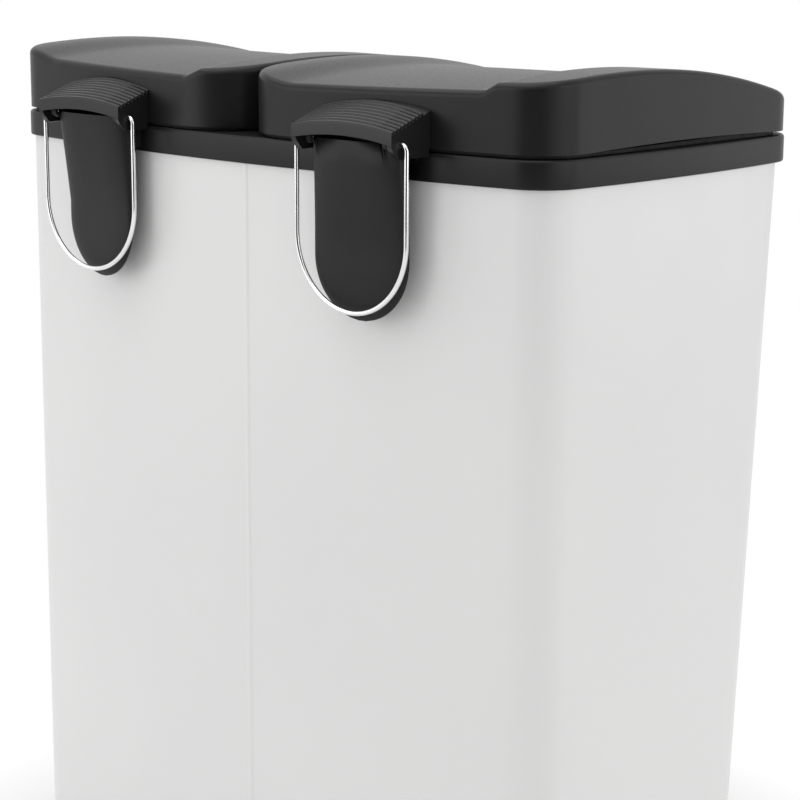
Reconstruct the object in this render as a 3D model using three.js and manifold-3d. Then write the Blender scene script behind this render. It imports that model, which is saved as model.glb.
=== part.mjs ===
// Double recycling bin: a steel wrap with two lidded compartments, two lift-out buckets and two pedals.
// Millimetres. +Z is up, the pedals are at the front (-Y), the hinges at the rear (+Y).
// The origin is on the floor, under the middle of the whole bin's box.
import * as THREE from 'three';
import { mergeVertices } from 'three/addons/utils/BufferGeometryUtils.js';
import Module from 'manifold-3d';

const wasm = await Module();
wasm.setup();

// ---------------------------------------------------------------- driving dimensions
const gap = 0.3; // between pieces that touch
const running = 0.35; // round whatever turns or slides in a hole

const plan = {
  width: 520, // chord of the rear face, corner to corner
  depth: 268, // chord of a side face, corner to corner
  rearBow: 23,
  frontBow: 14,
  sideBow: 8,
  rearCorner: 36,
  frontCorner: 42,
  frontLean: 36, // how far the front comes in at the floor
};

const sheet = { thick: 0.8, inset: 3, bottom: 22, tuck: 14, fit: 0.4 }; // tuck: up into the collar
const seam = { x: -15, width: 8, proud: 0.7 };

const collar = { bottom: 579, height: 18.5, edge: 2, wall: 14, bridge: 24, corner: 24 };

const lid = {
  clear: 2.5, // from the collar's top to the skirt
  rise: 50, // from the skirt to the top of the ridges
  inset: 1, // from the collar's face, front and rear
  halfWidth: 263, // outer side of a lid
  sideBow: 2,
  split: 3, // between the two lids
  wall: 2.5,
  innerCorner: 44,
  archAt: 60, // the ridges peak this far in front of the rear chord
  rearDrop: 8.6, // of the ridge at the rear edge
  frontDrop: 32.6, // and at the front edge
  dishDepth: 5.5,
  ridge: 36, // plain width of each side ridge
  flank: 14, // width of its slope into the dish
  edge: 7, // radius round the top
  opening: 75, // degrees
};

const liner = { thick: 2, height: 4.5 };

const hinge = { x: 130, reach: 20.7, height: 25.4 }; // from the collar's face, and over its lower edge

const wire = { radius: 1.6 };
const bail = { beside: 5.5, bend: 5, straight: 62, past: 0.5 }; // beside the cap, past the arms' inner faces

const cap = {
  width: 86,
  reach: 30, // from the collar's face to the front band
  wall: 3,
  band: 2.5,
  top: 2.6,
  bandBottom: 25, // over the collar's lower edge, as the next four
  bandTop: 33,
  rearTop: 46.5,
  cheekBottom: 18.6,
  finBottom: 16.5,
  finBack: 6,
  arch: 4,
  ribs: 9,
  ribHeight: 1,
  screwHeight: 36,
  screwSpread: 27,
};

const bracket = {
  beside: 2.5, // inside the cap's cheeks
  top: 25, // over the collar's lower edge, as the next three
  straightFrom: -40,
  roundFrom: -51,
  tip: -91.5,
  reachTop: 24.5, // from the collar's face, as the next two
  reachLow: 15.2,
  rim: 10, // its open back
  wall: 3,
  crown: 3.1, // exponent of the crowned section
  earRadius: 4.5,
  ear: 5,
  screwHeight: -32,
  screwSpread: 16,
};

const screw = { radius: 2, clear: 0.35, head: 3.8, headHeight: 2.4, boss: 4.8 };

const cam = { start: 0.1, width: 8, back: 2.5, web: 5 }; // involute lifting cam under each lid

const rod = { radius: 2.5, inset: 9.5, footRadius: 4.2, footDome: 1.2, footHeight: 4 };

const guide = { width: 26, height: 30, bottom: 320, depth: 11 };

const bucket = {
  clear: 1.5,
  flange: 3.2,
  rimHeight: 6,
  under: 7, // from the collar's lower edge down to the rim
  wall: 2.2,
  floor: 3,
  draft: 7,
  gripWidth: 84,
  gripHeight: 24,
  gripBelow: 18,
};

const base = {
  bottom: 4,
  skirtTop: 30,
  skin: 1.5,
  wall: 3,
  deckTop: 67.5,
  deck: 3.5,
  rib: 3,
  lugWidth: 5,
  lugRadius: 8,
  surround: 4,
  surroundDepth: 48, // from the front chord back
};

const foot = {
  radius: 15,
  height: 3.7,
  stem: 3,
  stemHeight: 7,
  sideIn: 55, // from the side chord
  rearIn: 38, // from the rear chord
  frontIn: 76, // from the front chord
  sides: 12,
};

const lever = {
  pivotIn: 94, // from the front chord
  pivotZ: 36,
  width: 26,
  height: 10,
  thick: 2.2,
  pad: 3,
  tip: 112, // from the pivot to the steel's front end
  past: 2.5, // of the steel behind the rod's middle
  pinRadius: 3,
};

const tread = { width: 58, length: 40, thick: 4, reach: 122, ribs: 5, ribHeight: 0.8, curl: 10 };

// ---------------------------------------------------------------- places worked out from them
const rearChord = plan.depth / 2;
const frontChord = -plan.depth / 2;
const arcRadius = (chord, bow) => (chord * chord) / (8 * bow) + bow / 2;
const rearArc = arcRadius(plan.width, plan.rearBow);
const frontArc = arcRadius(plan.width, plan.frontBow);
const sideArc = arcRadius(plan.depth, plan.sideBow);
const rearCentreY = rearChord + plan.rearBow - rearArc;
const rearFaceY = (x) => rearCentreY + Math.sqrt(rearArc * rearArc - x * x);
const collarTop = collar.bottom + collar.height;
const sheetTop = collar.bottom + sheet.tuck;
const lidBottom = collarTop + lid.clear;
const lidPeak = lidBottom + lid.rise;
const faceY = rearFaceY(hinge.x);
const axisY = faceY + hinge.reach;
const axisZ = collar.bottom + hinge.height;
const camRadius = hinge.reach + rod.inset; // rod to hinge line: the cam's base circle
const bracketHalf = cap.width / 2 - cap.wall - bracket.beside;
const armInner = bracketHalf - 1 - bracket.ear;
const bailHalf = cap.width / 2 + bail.beside;
const opening = THREE.MathUtils.degToRad(lid.opening);
const lift = camRadius * opening;
const rodY = faceY - rod.inset;
const pedalY = frontChord + lever.pivotIn;
const rearArm = rodY - pedalY;
const leverTravel = lift / rearArm; // radians
const leverRest = leverTravel / 2; // the rear end rests this far below level
const footX = plan.width / 2 - foot.sideIn;
const footEnds = [['front', frontChord + foot.frontIn], ['rear', rearChord - foot.rearIn]];

// Starts of the screws on the right-hand fittings, from the collar's face at the hinge.
const capScrew = (hand, out) => [
  hinge.x + hand * cap.screwSpread,
  faceY + out,
  collar.bottom + cap.screwHeight,
];
const bracketScrew = (hand, out) => [
  hinge.x + hand * bracket.screwSpread,
  faceY + out,
  collar.bottom + bracket.screwHeight,
];

// ---------------------------------------------------------------- solids
const toSolid = (geometry) => {
  const bare = geometry.clone();
  bare.deleteAttribute('normal');
  bare.deleteAttribute('uv');
  const merged = mergeVertices(bare, 1e-4);
  return new wasm.Manifold(
    new wasm.Mesh({
      numProp: 3,
      vertProperties: new Float32Array(merged.attributes.position.array),
      triVerts: new Uint32Array(merged.index.array),
    }),
  );
};

const toGeometry = (solid) => {
  const mesh = solid.getMesh();
  const geometry = new THREE.BufferGeometry();
  geometry.setAttribute('position', new THREE.BufferAttribute(new Float32Array(mesh.vertProperties), 3));
  geometry.setIndex(new THREE.BufferAttribute(new Uint32Array(mesh.triVerts), 1));
  geometry.computeVertexNormals();
  return geometry;
};

// A closed solid through rings of equal count, counter-clockwise seen from the last ring back
// to the first. flat gives the two axes in which the end rings are filled.
function loft(rings, flat = [0, 1]) {
  const count = rings[0].length;
  const positions = rings.flat().flatMap((p) => [p[0], p[1], p[2]]);
  const index = [];
  for (let k = 0; k + 1 < rings.length; k += 1) {
    for (let i = 0; i < count; i += 1) {
      const a = k * count + i;
      const b = k * count + ((i + 1) % count);
      index.push(a, b, b + count, a, b + count, a + count);
    }
  }
  const fill = (k, reverse) => {
    const outline = rings[k].map((p) => new THREE.Vector2(p[flat[0]], p[flat[1]]));
    for (const [a, b, c] of THREE.ShapeUtils.triangulateShape(outline, [])) {
      const face = [a + k * count, b + k * count, c + k * count];
      index.push(...(reverse ? face.reverse() : face));
    }
  };
  fill(0, true);
  fill(rings.length - 1, false);
  const geometry = new THREE.BufferGeometry();
  geometry.setAttribute('position', new THREE.Float32BufferAttribute(positions, 3));
  geometry.setIndex(index);
  return toSolid(geometry);
}

function block(x0, x1, y0, y1, z0, z1) {
  const geometry = new THREE.BoxGeometry(x1 - x0, y1 - y0, z1 - z0);
  geometry.translate((x0 + x1) / 2, (y0 + y1) / 2, (z0 + z1) / 2);
  return toSolid(geometry);
}

// A cylinder from one point along x, y or z.
function rodSolid(from, length, radius, axis, sides = 12) {
  const geometry = new THREE.CylinderGeometry(radius, radius, length, sides);
  if (axis === 'x') geometry.rotateZ(-Math.PI / 2);
  if (axis === 'z') geometry.rotateX(Math.PI / 2);
  const half = new THREE.Vector3(axis === 'x' ? 1 : 0, axis === 'y' ? 1 : 0, axis === 'z' ? 1 : 0);
  const middle = new THREE.Vector3(...from).addScaledVector(half, length / 2);
  geometry.translate(middle.x, middle.y, middle.z);
  return toSolid(geometry);
}

// A side profile in y and z, carried along x.
function profileAlongX(points, x0, x1, steps = 1) {
  const rings = [];
  for (let k = 0; k <= steps; k += 1) {
    const x = x0 + ((x1 - x0) * k) / steps;
    rings.push(points.map(([y, z]) => [x, y, z]));
  }
  return loft(rings, [1, 2]);
}

const join = (...solids) => solids.reduce((a, b) => a.add(b));
const cut = (solid, ...tools) => tools.reduce((a, b) => a.subtract(b), solid);

// ---------------------------------------------------------------- plan outlines
// A region inside four circles (its bowed sides, counter-clockwise from the rear), with filleted
// corners. Each corner has a radius and a rough place.
function planOutline(sides, corners, inset, sideSteps, cornerSteps) {
  const reach = sides.map((s) => s.r - inset);
  const fillets = corners.map((corner, i) => {
    const next = (i + 1) % 4;
    const radius = Math.max(corner.r - inset, 2);
    const a = sides[i];
    const b = sides[next];
    const ra = reach[i] - radius;
    const rb = reach[next] - radius;
    const dx = b.x - a.x;
    const dy = b.y - a.y;
    const span = Math.hypot(dx, dy);
    const along = (span * span + ra * ra - rb * rb) / (2 * span);
    const across = Math.sqrt(Math.max(ra * ra - along * along, 0));
    const places = [1, -1].map((sign) => ({
      x: a.x + (dx * along - sign * dy * across) / span,
      y: a.y + (dy * along + sign * dx * across) / span,
    }));
    const miss = (p) => Math.hypot(p.x - corner.x, p.y - corner.y);
    return { ...(miss(places[0]) < miss(places[1]) ? places[0] : places[1]), radius };
  });
  const angle = (from, to) => Math.atan2(to.y - from.y, to.x - from.x);
  const points = [];
  const sweep = (centre, radius, start, end, steps) => {
    const turn = THREE.MathUtils.euclideanModulo(end - start + Math.PI, 2 * Math.PI) - Math.PI;
    for (let k = 0; k < steps; k += 1) {
      const t = start + (turn * k) / steps;
      points.push([centre.x + radius * Math.cos(t), centre.y + radius * Math.sin(t)]);
    }
  };
  for (let i = 0; i < 4; i += 1) {
    const before = fillets[(i + 3) % 4];
    const after = fillets[i];
    const next = sides[(i + 1) % 4];
    sweep(sides[i], reach[i], angle(sides[i], before), angle(sides[i], after), sideSteps[i]);
    sweep(after, after.radius, angle(sides[i], after), angle(next, after), cornerSteps);
  }
  return points;
}

const wallLine = (x, side) => ({ x: x - side * 1e5, y: 0, r: 1e5 });
const rearSide = { x: 0, y: rearCentreY, r: rearArc };
const frontSide = { x: 0, y: frontChord - plan.frontBow + frontArc, r: frontArc };
const bodySide = (side) => ({ x: side * (plan.width / 2 + plan.sideBow - sideArc), y: 0, r: sideArc });

const bodyOutline = (inset) =>
  planOutline(
    [rearSide, bodySide(-1), frontSide, bodySide(1)],
    [
      { x: -plan.width / 2, y: rearChord, r: plan.rearCorner },
      { x: -plan.width / 2, y: frontChord, r: plan.frontCorner },
      { x: plan.width / 2, y: frontChord, r: plan.frontCorner },
      { x: plan.width / 2, y: rearChord, r: plan.rearCorner },
    ],
    inset,
    [9, 3, 5, 3],
    4,
  );

// The right compartment's opening in the collar.
const openingOutline = (inset) =>
  planOutline(
    [
      { ...rearSide, r: rearSide.r - collar.wall },
      wallLine(collar.bridge / 2, -1),
      { ...frontSide, r: frontSide.r - collar.wall },
      { ...bodySide(1), r: sideArc - collar.wall },
    ],
    [
      { x: collar.bridge / 2, y: rearChord, r: collar.corner },
      { x: collar.bridge / 2, y: frontChord, r: collar.corner },
      { x: plan.width / 2, y: frontChord, r: collar.corner },
      { x: plan.width / 2, y: rearChord, r: collar.corner },
    ],
    inset,
    [5, 1, 3, 3],
    3,
  );

const lidSideArc = arcRadius(plan.depth, lid.sideBow);
const lidOutline = (inset) =>
  planOutline(
    [
      { ...rearSide, r: rearSide.r - lid.inset },
      wallLine(lid.split / 2, -1),
      { ...frontSide, r: frontSide.r - lid.inset },
      { x: lid.halfWidth - lidSideArc, y: 0, r: lidSideArc },
    ],
    [
      { x: lid.split / 2, y: rearChord, r: lid.innerCorner },
      { x: lid.split / 2, y: frontChord, r: lid.innerCorner },
      { x: lid.halfWidth, y: frontChord, r: plan.frontCorner },
      { x: lid.halfWidth, y: rearChord, r: plan.rearCorner },
    ],
    inset,
    [12, 1, 6, 4],
    4,
  );

const atHeight = (outline, z) => outline.map(([x, y]) => [x, y, z]);

// The front leans in towards the floor, by a share of the depth in front of the rear chord.
const leaned = (outline, z) => {
  const share = 1 - (plan.frontLean * Math.max(collar.bottom - z, 0)) / (collar.bottom * plan.depth);
  return outline.map(([x, y]) => [x, y < rearChord ? rearChord - (rearChord - y) * share : y, z]);
};

const prism = (outlineAt, inset, z0, z1) =>
  loft([atHeight(outlineAt(inset), z0), atHeight(outlineAt(inset), z1)]);

const leanedPrism = (outlineAt, inset, z0, z1) => {
  const heights = z0 < collar.bottom && z1 > collar.bottom ? [z0, collar.bottom, z1] : [z0, z1];
  return loft(heights.map((z) => leaned(outlineAt(inset), z)));
};

const mirrored = (solid) => solid.mirror([1, 0, 0]);

// ---------------------------------------------------------------- sleeve, collar, base
const surroundX = tread.width / 2 + gap + 2.7;
const surroundZ = { low: 16, high: 60 };

function outerSleeve() {
  const inner = sheet.inset + sheet.thick;
  let sleeve = leanedPrism(bodyOutline, sheet.inset, sheet.bottom, sheetTop);
  const strip = [];
  for (const [x, out] of [
    [seam.x + seam.width / 2, seam.proud],
    [seam.x - seam.width / 2, seam.proud],
    [seam.x - seam.width / 2, -sheet.thick / 2],
    [seam.x + seam.width / 2, -sheet.thick / 2],
  ]) {
    strip.push([x, rearFaceY(x) - sheet.inset + out]);
  }
  const skirtTop = base.skirtTop + gap;
  sleeve = join(sleeve, loft([atHeight(strip, skirtTop), atHeight(strip, collar.bottom - gap)]));
  sleeve = cut(sleeve, leanedPrism(bodyOutline, inner, sheet.bottom - 1, sheetTop + 1));
  const front = frontChord - plan.frontBow;
  for (const side of [-1, 1]) {
    const x = side * hinge.x;
    const reach = surroundX + base.surround + gap;
    sleeve = cut(sleeve, block(x - reach, x + reach, front, pedalY, 0, surroundZ.high + base.surround + gap));
    for (const hand of [-1, 1]) {
      const [u, y, z] = bracketScrew(hand, -12);
      sleeve = cut(sleeve, rodSolid([side * u, y, z], 20, screw.radius + screw.clear, 'y', 8));
    }
  }
  return sleeve;
}

function rimCollar() {
  const rings = [
    [collar.edge / 2, collar.bottom],
    [0, collar.bottom + collar.edge / 2],
    [0, collarTop - collar.edge],
    [collar.edge * 0.3, collarTop - collar.edge * 0.3],
    [collar.edge, collarTop],
  ].map(([inset, z]) => atHeight(bodyOutline(inset), z));
  const groove = cut(
    prism(bodyOutline, sheet.inset - sheet.fit, collar.bottom - 1, sheetTop + gap),
    prism(bodyOutline, sheet.inset + sheet.thick + sheet.fit, collar.bottom - 2, sheetTop + 1),
  );
  const mouth = prism(openingOutline, 0, collar.bottom - 5, collarTop + 5);
  let ring = cut(loft(rings), groove, mouth, mirrored(mouth));
  for (const side of [-1, 1]) {
    const x = side * hinge.x;
    ring = cut(ring, rodSolid([x, rodY, collar.bottom - 5], 40, rod.radius + running, 'z'));
  }
  return ring;
}

function binBase() {
  const { bottom, skirtTop, deckTop, deck, wall, skin, rib } = base;
  const grooveFloor = sheet.bottom - gap;
  const outside = sheet.inset - sheet.fit - skin;
  const inside = sheet.inset + sheet.thick + sheet.fit;
  const lip = cut(
    leanedPrism(bodyOutline, outside, bottom, skirtTop),
    leanedPrism(bodyOutline, sheet.inset - sheet.fit, grooveFloor, skirtTop + 1),
  );
  const upstand = leanedPrism(bodyOutline, inside, grooveFloor - wall, deckTop);
  const cavity = leanedPrism(bodyOutline, inside + wall, bottom - 1, deckTop - deck);
  let solid = cut(join(lip, upstand), cavity);
  // cross ribs under the deck carry the levers' bearing lugs and the feet
  const walls = leanedPrism(bodyOutline, inside + 1, bottom, deckTop);
  const ribs = [];
  for (const x of [-footX, 0, footX]) {
    ribs.push(block(x - rib / 2, x + rib / 2, -plan.depth, plan.depth, bottom, deckTop - 1));
  }
  for (const x of [-footX, footX]) {
    for (const [, y] of footEnds) {
      ribs.push(rodSolid([x, y, bottom], deckTop - bottom - 1, foot.radius - 2, 'z'));
    }
  }
  for (const side of [-1, 1]) {
    for (const hand of [-1, 1]) {
      const x = side * hinge.x + hand * (lever.width / 2 + 1 + base.lugWidth / 2);
      const lug = join(
        rodSolid([x - base.lugWidth / 2, pedalY, lever.pivotZ], base.lugWidth, base.lugRadius, 'x'),
        block(
          x - base.lugWidth / 2,
          x + base.lugWidth / 2,
          pedalY - base.lugRadius,
          pedalY + base.lugRadius,
          lever.pivotZ,
          deckTop - 1,
        ),
      );
      ribs.push(lug);
    }
  }
  solid = join(solid, join(...ribs).intersect(walls));
  // pedal surrounds: a frame through the front of the sheet, with the slot inside
  const front = frontChord - plan.frontBow - 5;
  const frameBack = frontChord + base.surroundDepth;
  const frames = [-1, 1].map((side) => {
    const x = side * hinge.x;
    const reach = surroundX + base.surround;
    const { low, high } = surroundZ;
    return block(x - reach, x + reach, front, frameBack, low - base.surround, high + base.surround);
  });
  const frameDepth = leanedPrism(bodyOutline, outside - 1, bottom, 100);
  solid = join(solid, join(...frames).intersect(frameDepth));
  const leverRoom = leanedPrism(bodyOutline, inside + gap, bottom - 1, deckTop);
  for (const side of [-1, 1]) {
    const x = side * hinge.x;
    const reach = lever.width / 2 + 2;
    const notch = block(x - reach, x + reach, rodY - 30, rodY + 20, bottom - 1, deckTop - deck);
    solid = cut(
      solid,
      notch.intersect(leverRoom),
      block(x - surroundX, x + surroundX, front, frameBack + 1, surroundZ.low, surroundZ.high),
      rodSolid([x - 40, pedalY, lever.pivotZ], 80, lever.pinRadius + running, 'x'),
      rodSolid([x, rodY, 20], 80, rod.radius + running, 'z'),
    );
  }
  for (const x of [-footX, footX]) {
    for (const [, y] of footEnds) {
      solid = cut(solid, rodSolid([x, y, 0], foot.height + foot.stemHeight + gap, foot.stem + gap, 'z'));
    }
  }
  return solid;
}

function rubberFoot() {
  const { radius, height, stem, stemHeight } = foot;
  const profile = [
    [0, 0],
    [radius, 0],
    [radius, height],
    [stem, height],
    [stem, height + stemHeight],
    [0, height + stemHeight],
  ].map(([x, y]) => new THREE.Vector2(x, y));
  const geometry = new THREE.LatheGeometry(profile, foot.sides);
  geometry.rotateX(Math.PI / 2);
  return toSolid(geometry);
}

// ---------------------------------------------------------------- lids
// Height of a lid's top: arched from rear to front, dished between its two side ridges.
function lidHeight(x, y) {
  const forward = rearChord - y;
  const behind = forward < lid.archAt;
  const rearRun = lid.archAt + plan.rearBow;
  const frontRun = plan.depth + plan.frontBow - lid.archAt;
  const run = behind ? (lid.archAt - forward) / rearRun : (forward - lid.archAt) / frontRun;
  const ridge = lidPeak - (behind ? lid.rearDrop : lid.frontDrop) * run * run;
  const fromEdge = Math.min(x - lid.split / 2, lid.halfWidth - x);
  return ridge - lid.dishDepth * THREE.MathUtils.smoothstep(fromEdge, lid.ridge, lid.ridge + lid.flank);
}

const lidMiddle = { x: (lid.halfWidth + lid.split / 2) / 2, y: (rearFaceY(hinge.x) + frontChord) / 2 - 4 };

// The right lid's outside, taken in by an inset: wall, rounded edge, ridges and dish.
function lidVolume(inset, low, roundSteps, insets, shares) {
  const radius = Math.max(lid.edge - inset, 2);
  const rings = [atHeight(lidOutline(inset), low)];
  for (let k = 0; k <= roundSteps; k += 1) {
    const angle = (Math.PI / 2) * (k / roundSteps);
    const outline = lidOutline(inset + radius * (1 - Math.cos(angle)));
    const drop = inset + radius * (1 - Math.sin(angle));
    rings.push(outline.map(([x, y]) => [x, y, lidHeight(x, y) - drop]));
  }
  for (const distance of insets) {
    rings.push(lidOutline(distance).map(([x, y]) => [x, y, lidHeight(x, y) - inset]));
  }
  const last = lidOutline(insets[insets.length - 1]);
  for (const share of shares) {
    rings.push(
      last.map(([px, py]) => {
        const x = lidMiddle.x + (px - lidMiddle.x) * share;
        const y = lidMiddle.y + (py - lidMiddle.y) * share;
        return [x, y, lidHeight(x, y) - inset];
      }),
    );
  }
  return loft(rings);
}

// Side profile of the lifting cam: the involute of a circle round the hinge line. The rod's tip then
// rises by the circle's radius for each radian that the lid opens.
function camProfile() {
  const under = [];
  const steps = 10;
  for (let k = 0; k <= steps; k += 1) {
    const turn = (opening * k) / steps;
    const rise = camRadius * (cam.start + turn);
    const out = -camRadius * Math.cos(turn) - rise * Math.sin(turn);
    const up = -camRadius * Math.sin(turn) + rise * Math.cos(turn);
    under.push([axisY + out, axisZ + up]);
  }
  const [, startZ] = under[0];
  const [tipY, tipZ] = under[steps];
  const backY = rodY + cam.back;
  const webY = tipY - cam.web;
  return [[backY, lidPeak], [webY, lidPeak], [webY, tipZ + 1], ...under.reverse(), [backY, startZ]];
}

function rightLid() {
  const dish = lid.ridge + lid.flank;
  const outside = lidVolume(0, lidBottom, 2, [lid.ridge, dish - lid.flank / 2, dish], [0.6, 0.25]);
  const inside = lidVolume(lid.wall, lidBottom - 1, 1, [lid.ridge, dish], [0.4]);
  const half = cam.width / 2;
  const lug = profileAlongX(camProfile(), hinge.x - half, hinge.x + half);
  const below = block(hinge.x - half, hinge.x + half, 0, faceY, collar.bottom, lidBottom + 10);
  const room = join(lidVolume(lid.wall / 2, lidBottom, 1, [lid.ridge, dish], [0.4]), below);
  let shell = join(cut(outside, inside), lug.intersect(room));
  for (const hand of [-1, 1]) {
    shell = cut(shell, rodSolid(capScrew(hand, -12), 30, screw.radius + screw.clear, 'y', 8));
  }
  return shell;
}

function rightLiner() {
  const outer = lid.wall + gap;
  const low = collarTop + gap;
  const ring = cut(
    prism(lidOutline, outer, low, low + liner.height),
    prism(lidOutline, outer + liner.thick, low - 1, low + liner.height + 1),
  );
  return ring;
}

// ---------------------------------------------------------------- hinge caps, brackets and bails

// The volume of the collar, sheet and lid, let out by the gap, which the rear fittings are cut back from.
function bodyKeepOut() {
  const lidZone = prism(lidOutline, -gap, lidBottom - gap, lidPeak + 30);
  return join(
    prism(bodyOutline, sheet.inset - gap, collar.bottom - 200, collar.bottom),
    prism(bodyOutline, -gap, collar.bottom - gap, lidBottom - gap + 0.1),
    lidZone,
  );
}

const archAt = (u) => cap.arch * (1 - ((2 * u) / cap.width) ** 2);

// Sides of the cap in reach and height, with the saw-tooth ribs along the sloping top.
function capSide(back) {
  const slope = (cap.rearTop - cap.bandTop) / cap.reach;
  const pitch = cap.reach / cap.ribs;
  const points = [
    [back, cap.cheekBottom],
    [cap.reach - cap.finBack, cap.finBottom],
    [cap.reach, cap.bandBottom],
  ];
  for (let k = 0; k < cap.ribs; k += 1) {
    const out = cap.reach - k * pitch;
    points.push([out, cap.bandTop + slope * k * pitch]);
    points.push([out - pitch * 0.55, cap.bandTop + slope * (k + 0.55) * pitch + cap.ribHeight]);
  }
  points.push([back, cap.bandTop + slope * (cap.reach - back)]);
  return points;
}

// Carries a profile of reach and height along the cap's width and lifts it by the arch.
function archedAlongX(points, halfWidth, steps) {
  const rings = [];
  for (let k = 0; k <= steps; k += 1) {
    const u = -halfWidth + (2 * halfWidth * k) / steps;
    rings.push(points.map(([out, z]) => [hinge.x + u, faceY + out, collar.bottom + z + archAt(u)]));
  }
  return loft(rings, [1, 2]);
}

function rightCap(keepOut) {
  const back = -12;
  const half = cap.width / 2;
  const slope = (cap.rearTop - cap.bandTop) / cap.reach;
  const inner = cap.reach - cap.band;
  const underTop = (out) => cap.bandTop + slope * (cap.reach - out) - cap.top;
  const hollow = [
    [back - 1, 0],
    [cap.reach + 1, 0],
    [cap.reach + 1, cap.bandBottom],
    [inner, cap.bandBottom],
    [inner, underTop(inner)],
    [back - 1, underTop(back - 1)],
  ];
  let solid = cut(archedAlongX(capSide(back), half, 8), archedAlongX(hollow, half - cap.wall, 4));
  for (const hand of [-1, 1]) {
    const [x, y, z] = capScrew(hand, -2);
    const boss = rodSolid([x, y, z], cap.reach - cap.band - 4, screw.boss, 'y', 10);
    solid = join(solid, boss.intersect(archedAlongX(capSide(back), half, 8)));
  }
  solid = cut(solid, keepOut, rodSolid([hinge.x - 60, axisY, axisZ], 120, wire.radius + running, 'x'));
  for (const hand of [-1, 1]) {
    const [x, y, z] = capScrew(hand, -4);
    solid = cut(solid, rodSolid([x, y, z], 18, screw.radius + screw.clear, 'y', 8));
  }
  return solid;
}

// One level of the bracket's crowned section, from its back edge round and back again. Lower down the
// section comes in towards the wall and turns with it, because the wall is bowed.
function bracketSection(height, less, back) {
  const { top, straightFrom, roundFrom, tip, rim } = bracket;
  const low = THREE.MathUtils.clamp((roundFrom - height) / (roundFrom - tip), 0, 1);
  const round = Math.sqrt(1 - low * low);
  const fall = THREE.MathUtils.clamp((top - height) / (top - straightFrom), 0, 1);
  const reach = THREE.MathUtils.lerp(bracket.reachTop, bracket.reachLow, fall);
  const turn = (fall * hinge.x) / (faceY - rearCentreY);
  const crown = Math.max((reach - rim) * round - less, gap);
  const half = Math.max(bracketHalf * round, 4) - less;
  const steps = 10;
  const ring = [];
  for (let k = 0; k <= steps; k += 1) {
    const angle = (Math.PI * k) / steps;
    const across = Math.sign(Math.cos(angle)) * Math.abs(Math.cos(angle)) ** (2 / bracket.crown);
    const out = Math.sin(angle) ** (2 / bracket.crown);
    ring.push([half * across, rim + crown * out]);
  }
  if (back < rim) {
    ring.unshift([half, back]);
    ring.push([-half, back]);
  }
  return ring.map(([u, out]) => [hinge.x + u, faceY + out - turn * u, collar.bottom + height]);
}

function bracketVolume(less, topUp, back) {
  const { top, straightFrom, roundFrom, tip } = bracket;
  const rings = [];
  const steps = 5;
  for (let k = 0; k <= steps; k += 1) {
    const angle = (Math.PI / 2) * (1 - k / steps);
    const height = roundFrom + (tip + less - roundFrom) * Math.sin(angle);
    rings.push(bracketSection(height, less, back));
  }
  rings.push(bracketSection(straightFrom, less, back), bracketSection(top, less, back));
  if (topUp) rings.push(bracketSection(top, less, back).map(([x, y, z]) => [x, y, z + topUp]));
  return loft(rings);
}

function rightBracket(keepOut) {
  const { rim, wall, ear, earRadius } = bracket;
  const inWall = -sheet.inset - plan.rearBow;
  let solid = cut(bracketVolume(0, 0, rim), bracketVolume(wall, 5, rim - 5));
  const outer = bracketVolume(0, 0, inWall);
  for (const hand of [-1, 1]) {
    const boss = rodSolid(bracketScrew(hand, -10), 40, screw.boss, 'y', 10);
    // an arm on each side reaches from the wall to the hinge line
    const x = hinge.x + (hand > 0 ? armInner : -armInner - ear);
    const arm = join(
      rodSolid([x, axisY, axisZ], ear, earRadius, 'x'),
      block(x, x + ear, faceY - 3, axisY, axisZ - earRadius, axisZ),
      block(x, x + ear, faceY - 3, faceY + rim + wall, axisZ - 22, axisZ),
    );
    solid = join(solid, boss.intersect(outer), arm);
  }
  solid = cut(solid, keepOut, rodSolid([hinge.x - 60, axisY, axisZ], 120, wire.radius + running, 'x'));
  for (const hand of [-1, 1]) {
    solid = cut(solid, rodSolid(bracketScrew(hand, -12), 25, screw.radius + screw.clear, 'y', 8));
  }
  return solid;
}

// The bail's centre line, from its left end, round the bend, down, round the bow and up again.
class BailLine extends THREE.Curve {
  constructor() {
    super();
    this.endAt = armInner + bail.past;
    this.inward = bailHalf - bail.bend - this.endAt;
    this.turn = (Math.PI / 2) * bail.bend;
    this.leg = bail.straight - bail.bend;
    this.half = this.inward + this.turn + this.leg + (Math.PI * bailHalf) / 2;
  }

  sideways(length) {
    const { bend, straight } = bail;
    if (length < this.inward) return [this.endAt + length, 0];
    const past = length - this.inward;
    if (past < this.turn) {
      const angle = past / bend;
      return [bailHalf - bend + bend * Math.sin(angle), -bend + bend * Math.cos(angle)];
    }
    if (past < this.turn + this.leg) return [bailHalf, -bend - (past - this.turn)];
    const angle = (past - this.turn - this.leg) / bailHalf;
    return [bailHalf * Math.cos(angle), -straight - bailHalf * Math.sin(angle)];
  }

  getPoint(t, target = new THREE.Vector3()) {
    const length = t * 2 * this.half;
    const second = length > this.half;
    const [across, down] = this.sideways(second ? 2 * this.half - length : length);
    return target.set(hinge.x + (second ? across : -across), axisY, axisZ + down);
  }
}

function rightBail() {
  const section = new THREE.Shape();
  section.absarc(0, 0, wire.radius, 0, 2 * Math.PI);
  const geometry = new THREE.ExtrudeGeometry(section, {
    steps: 52,
    curveSegments: 4,
    bevelEnabled: false,
    extrudePath: new BailLine(),
  });
  return toSolid(geometry);
}

// ---------------------------------------------------------------- screws
function screwSolid([x, y, z], length) {
  return join(
    rodSolid([x, y - screw.headHeight, z], screw.headHeight, screw.head, 'y', 8),
    rodSolid([x, y - 0.5, z], length, screw.radius, 'y', 8),
  );
}

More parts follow.
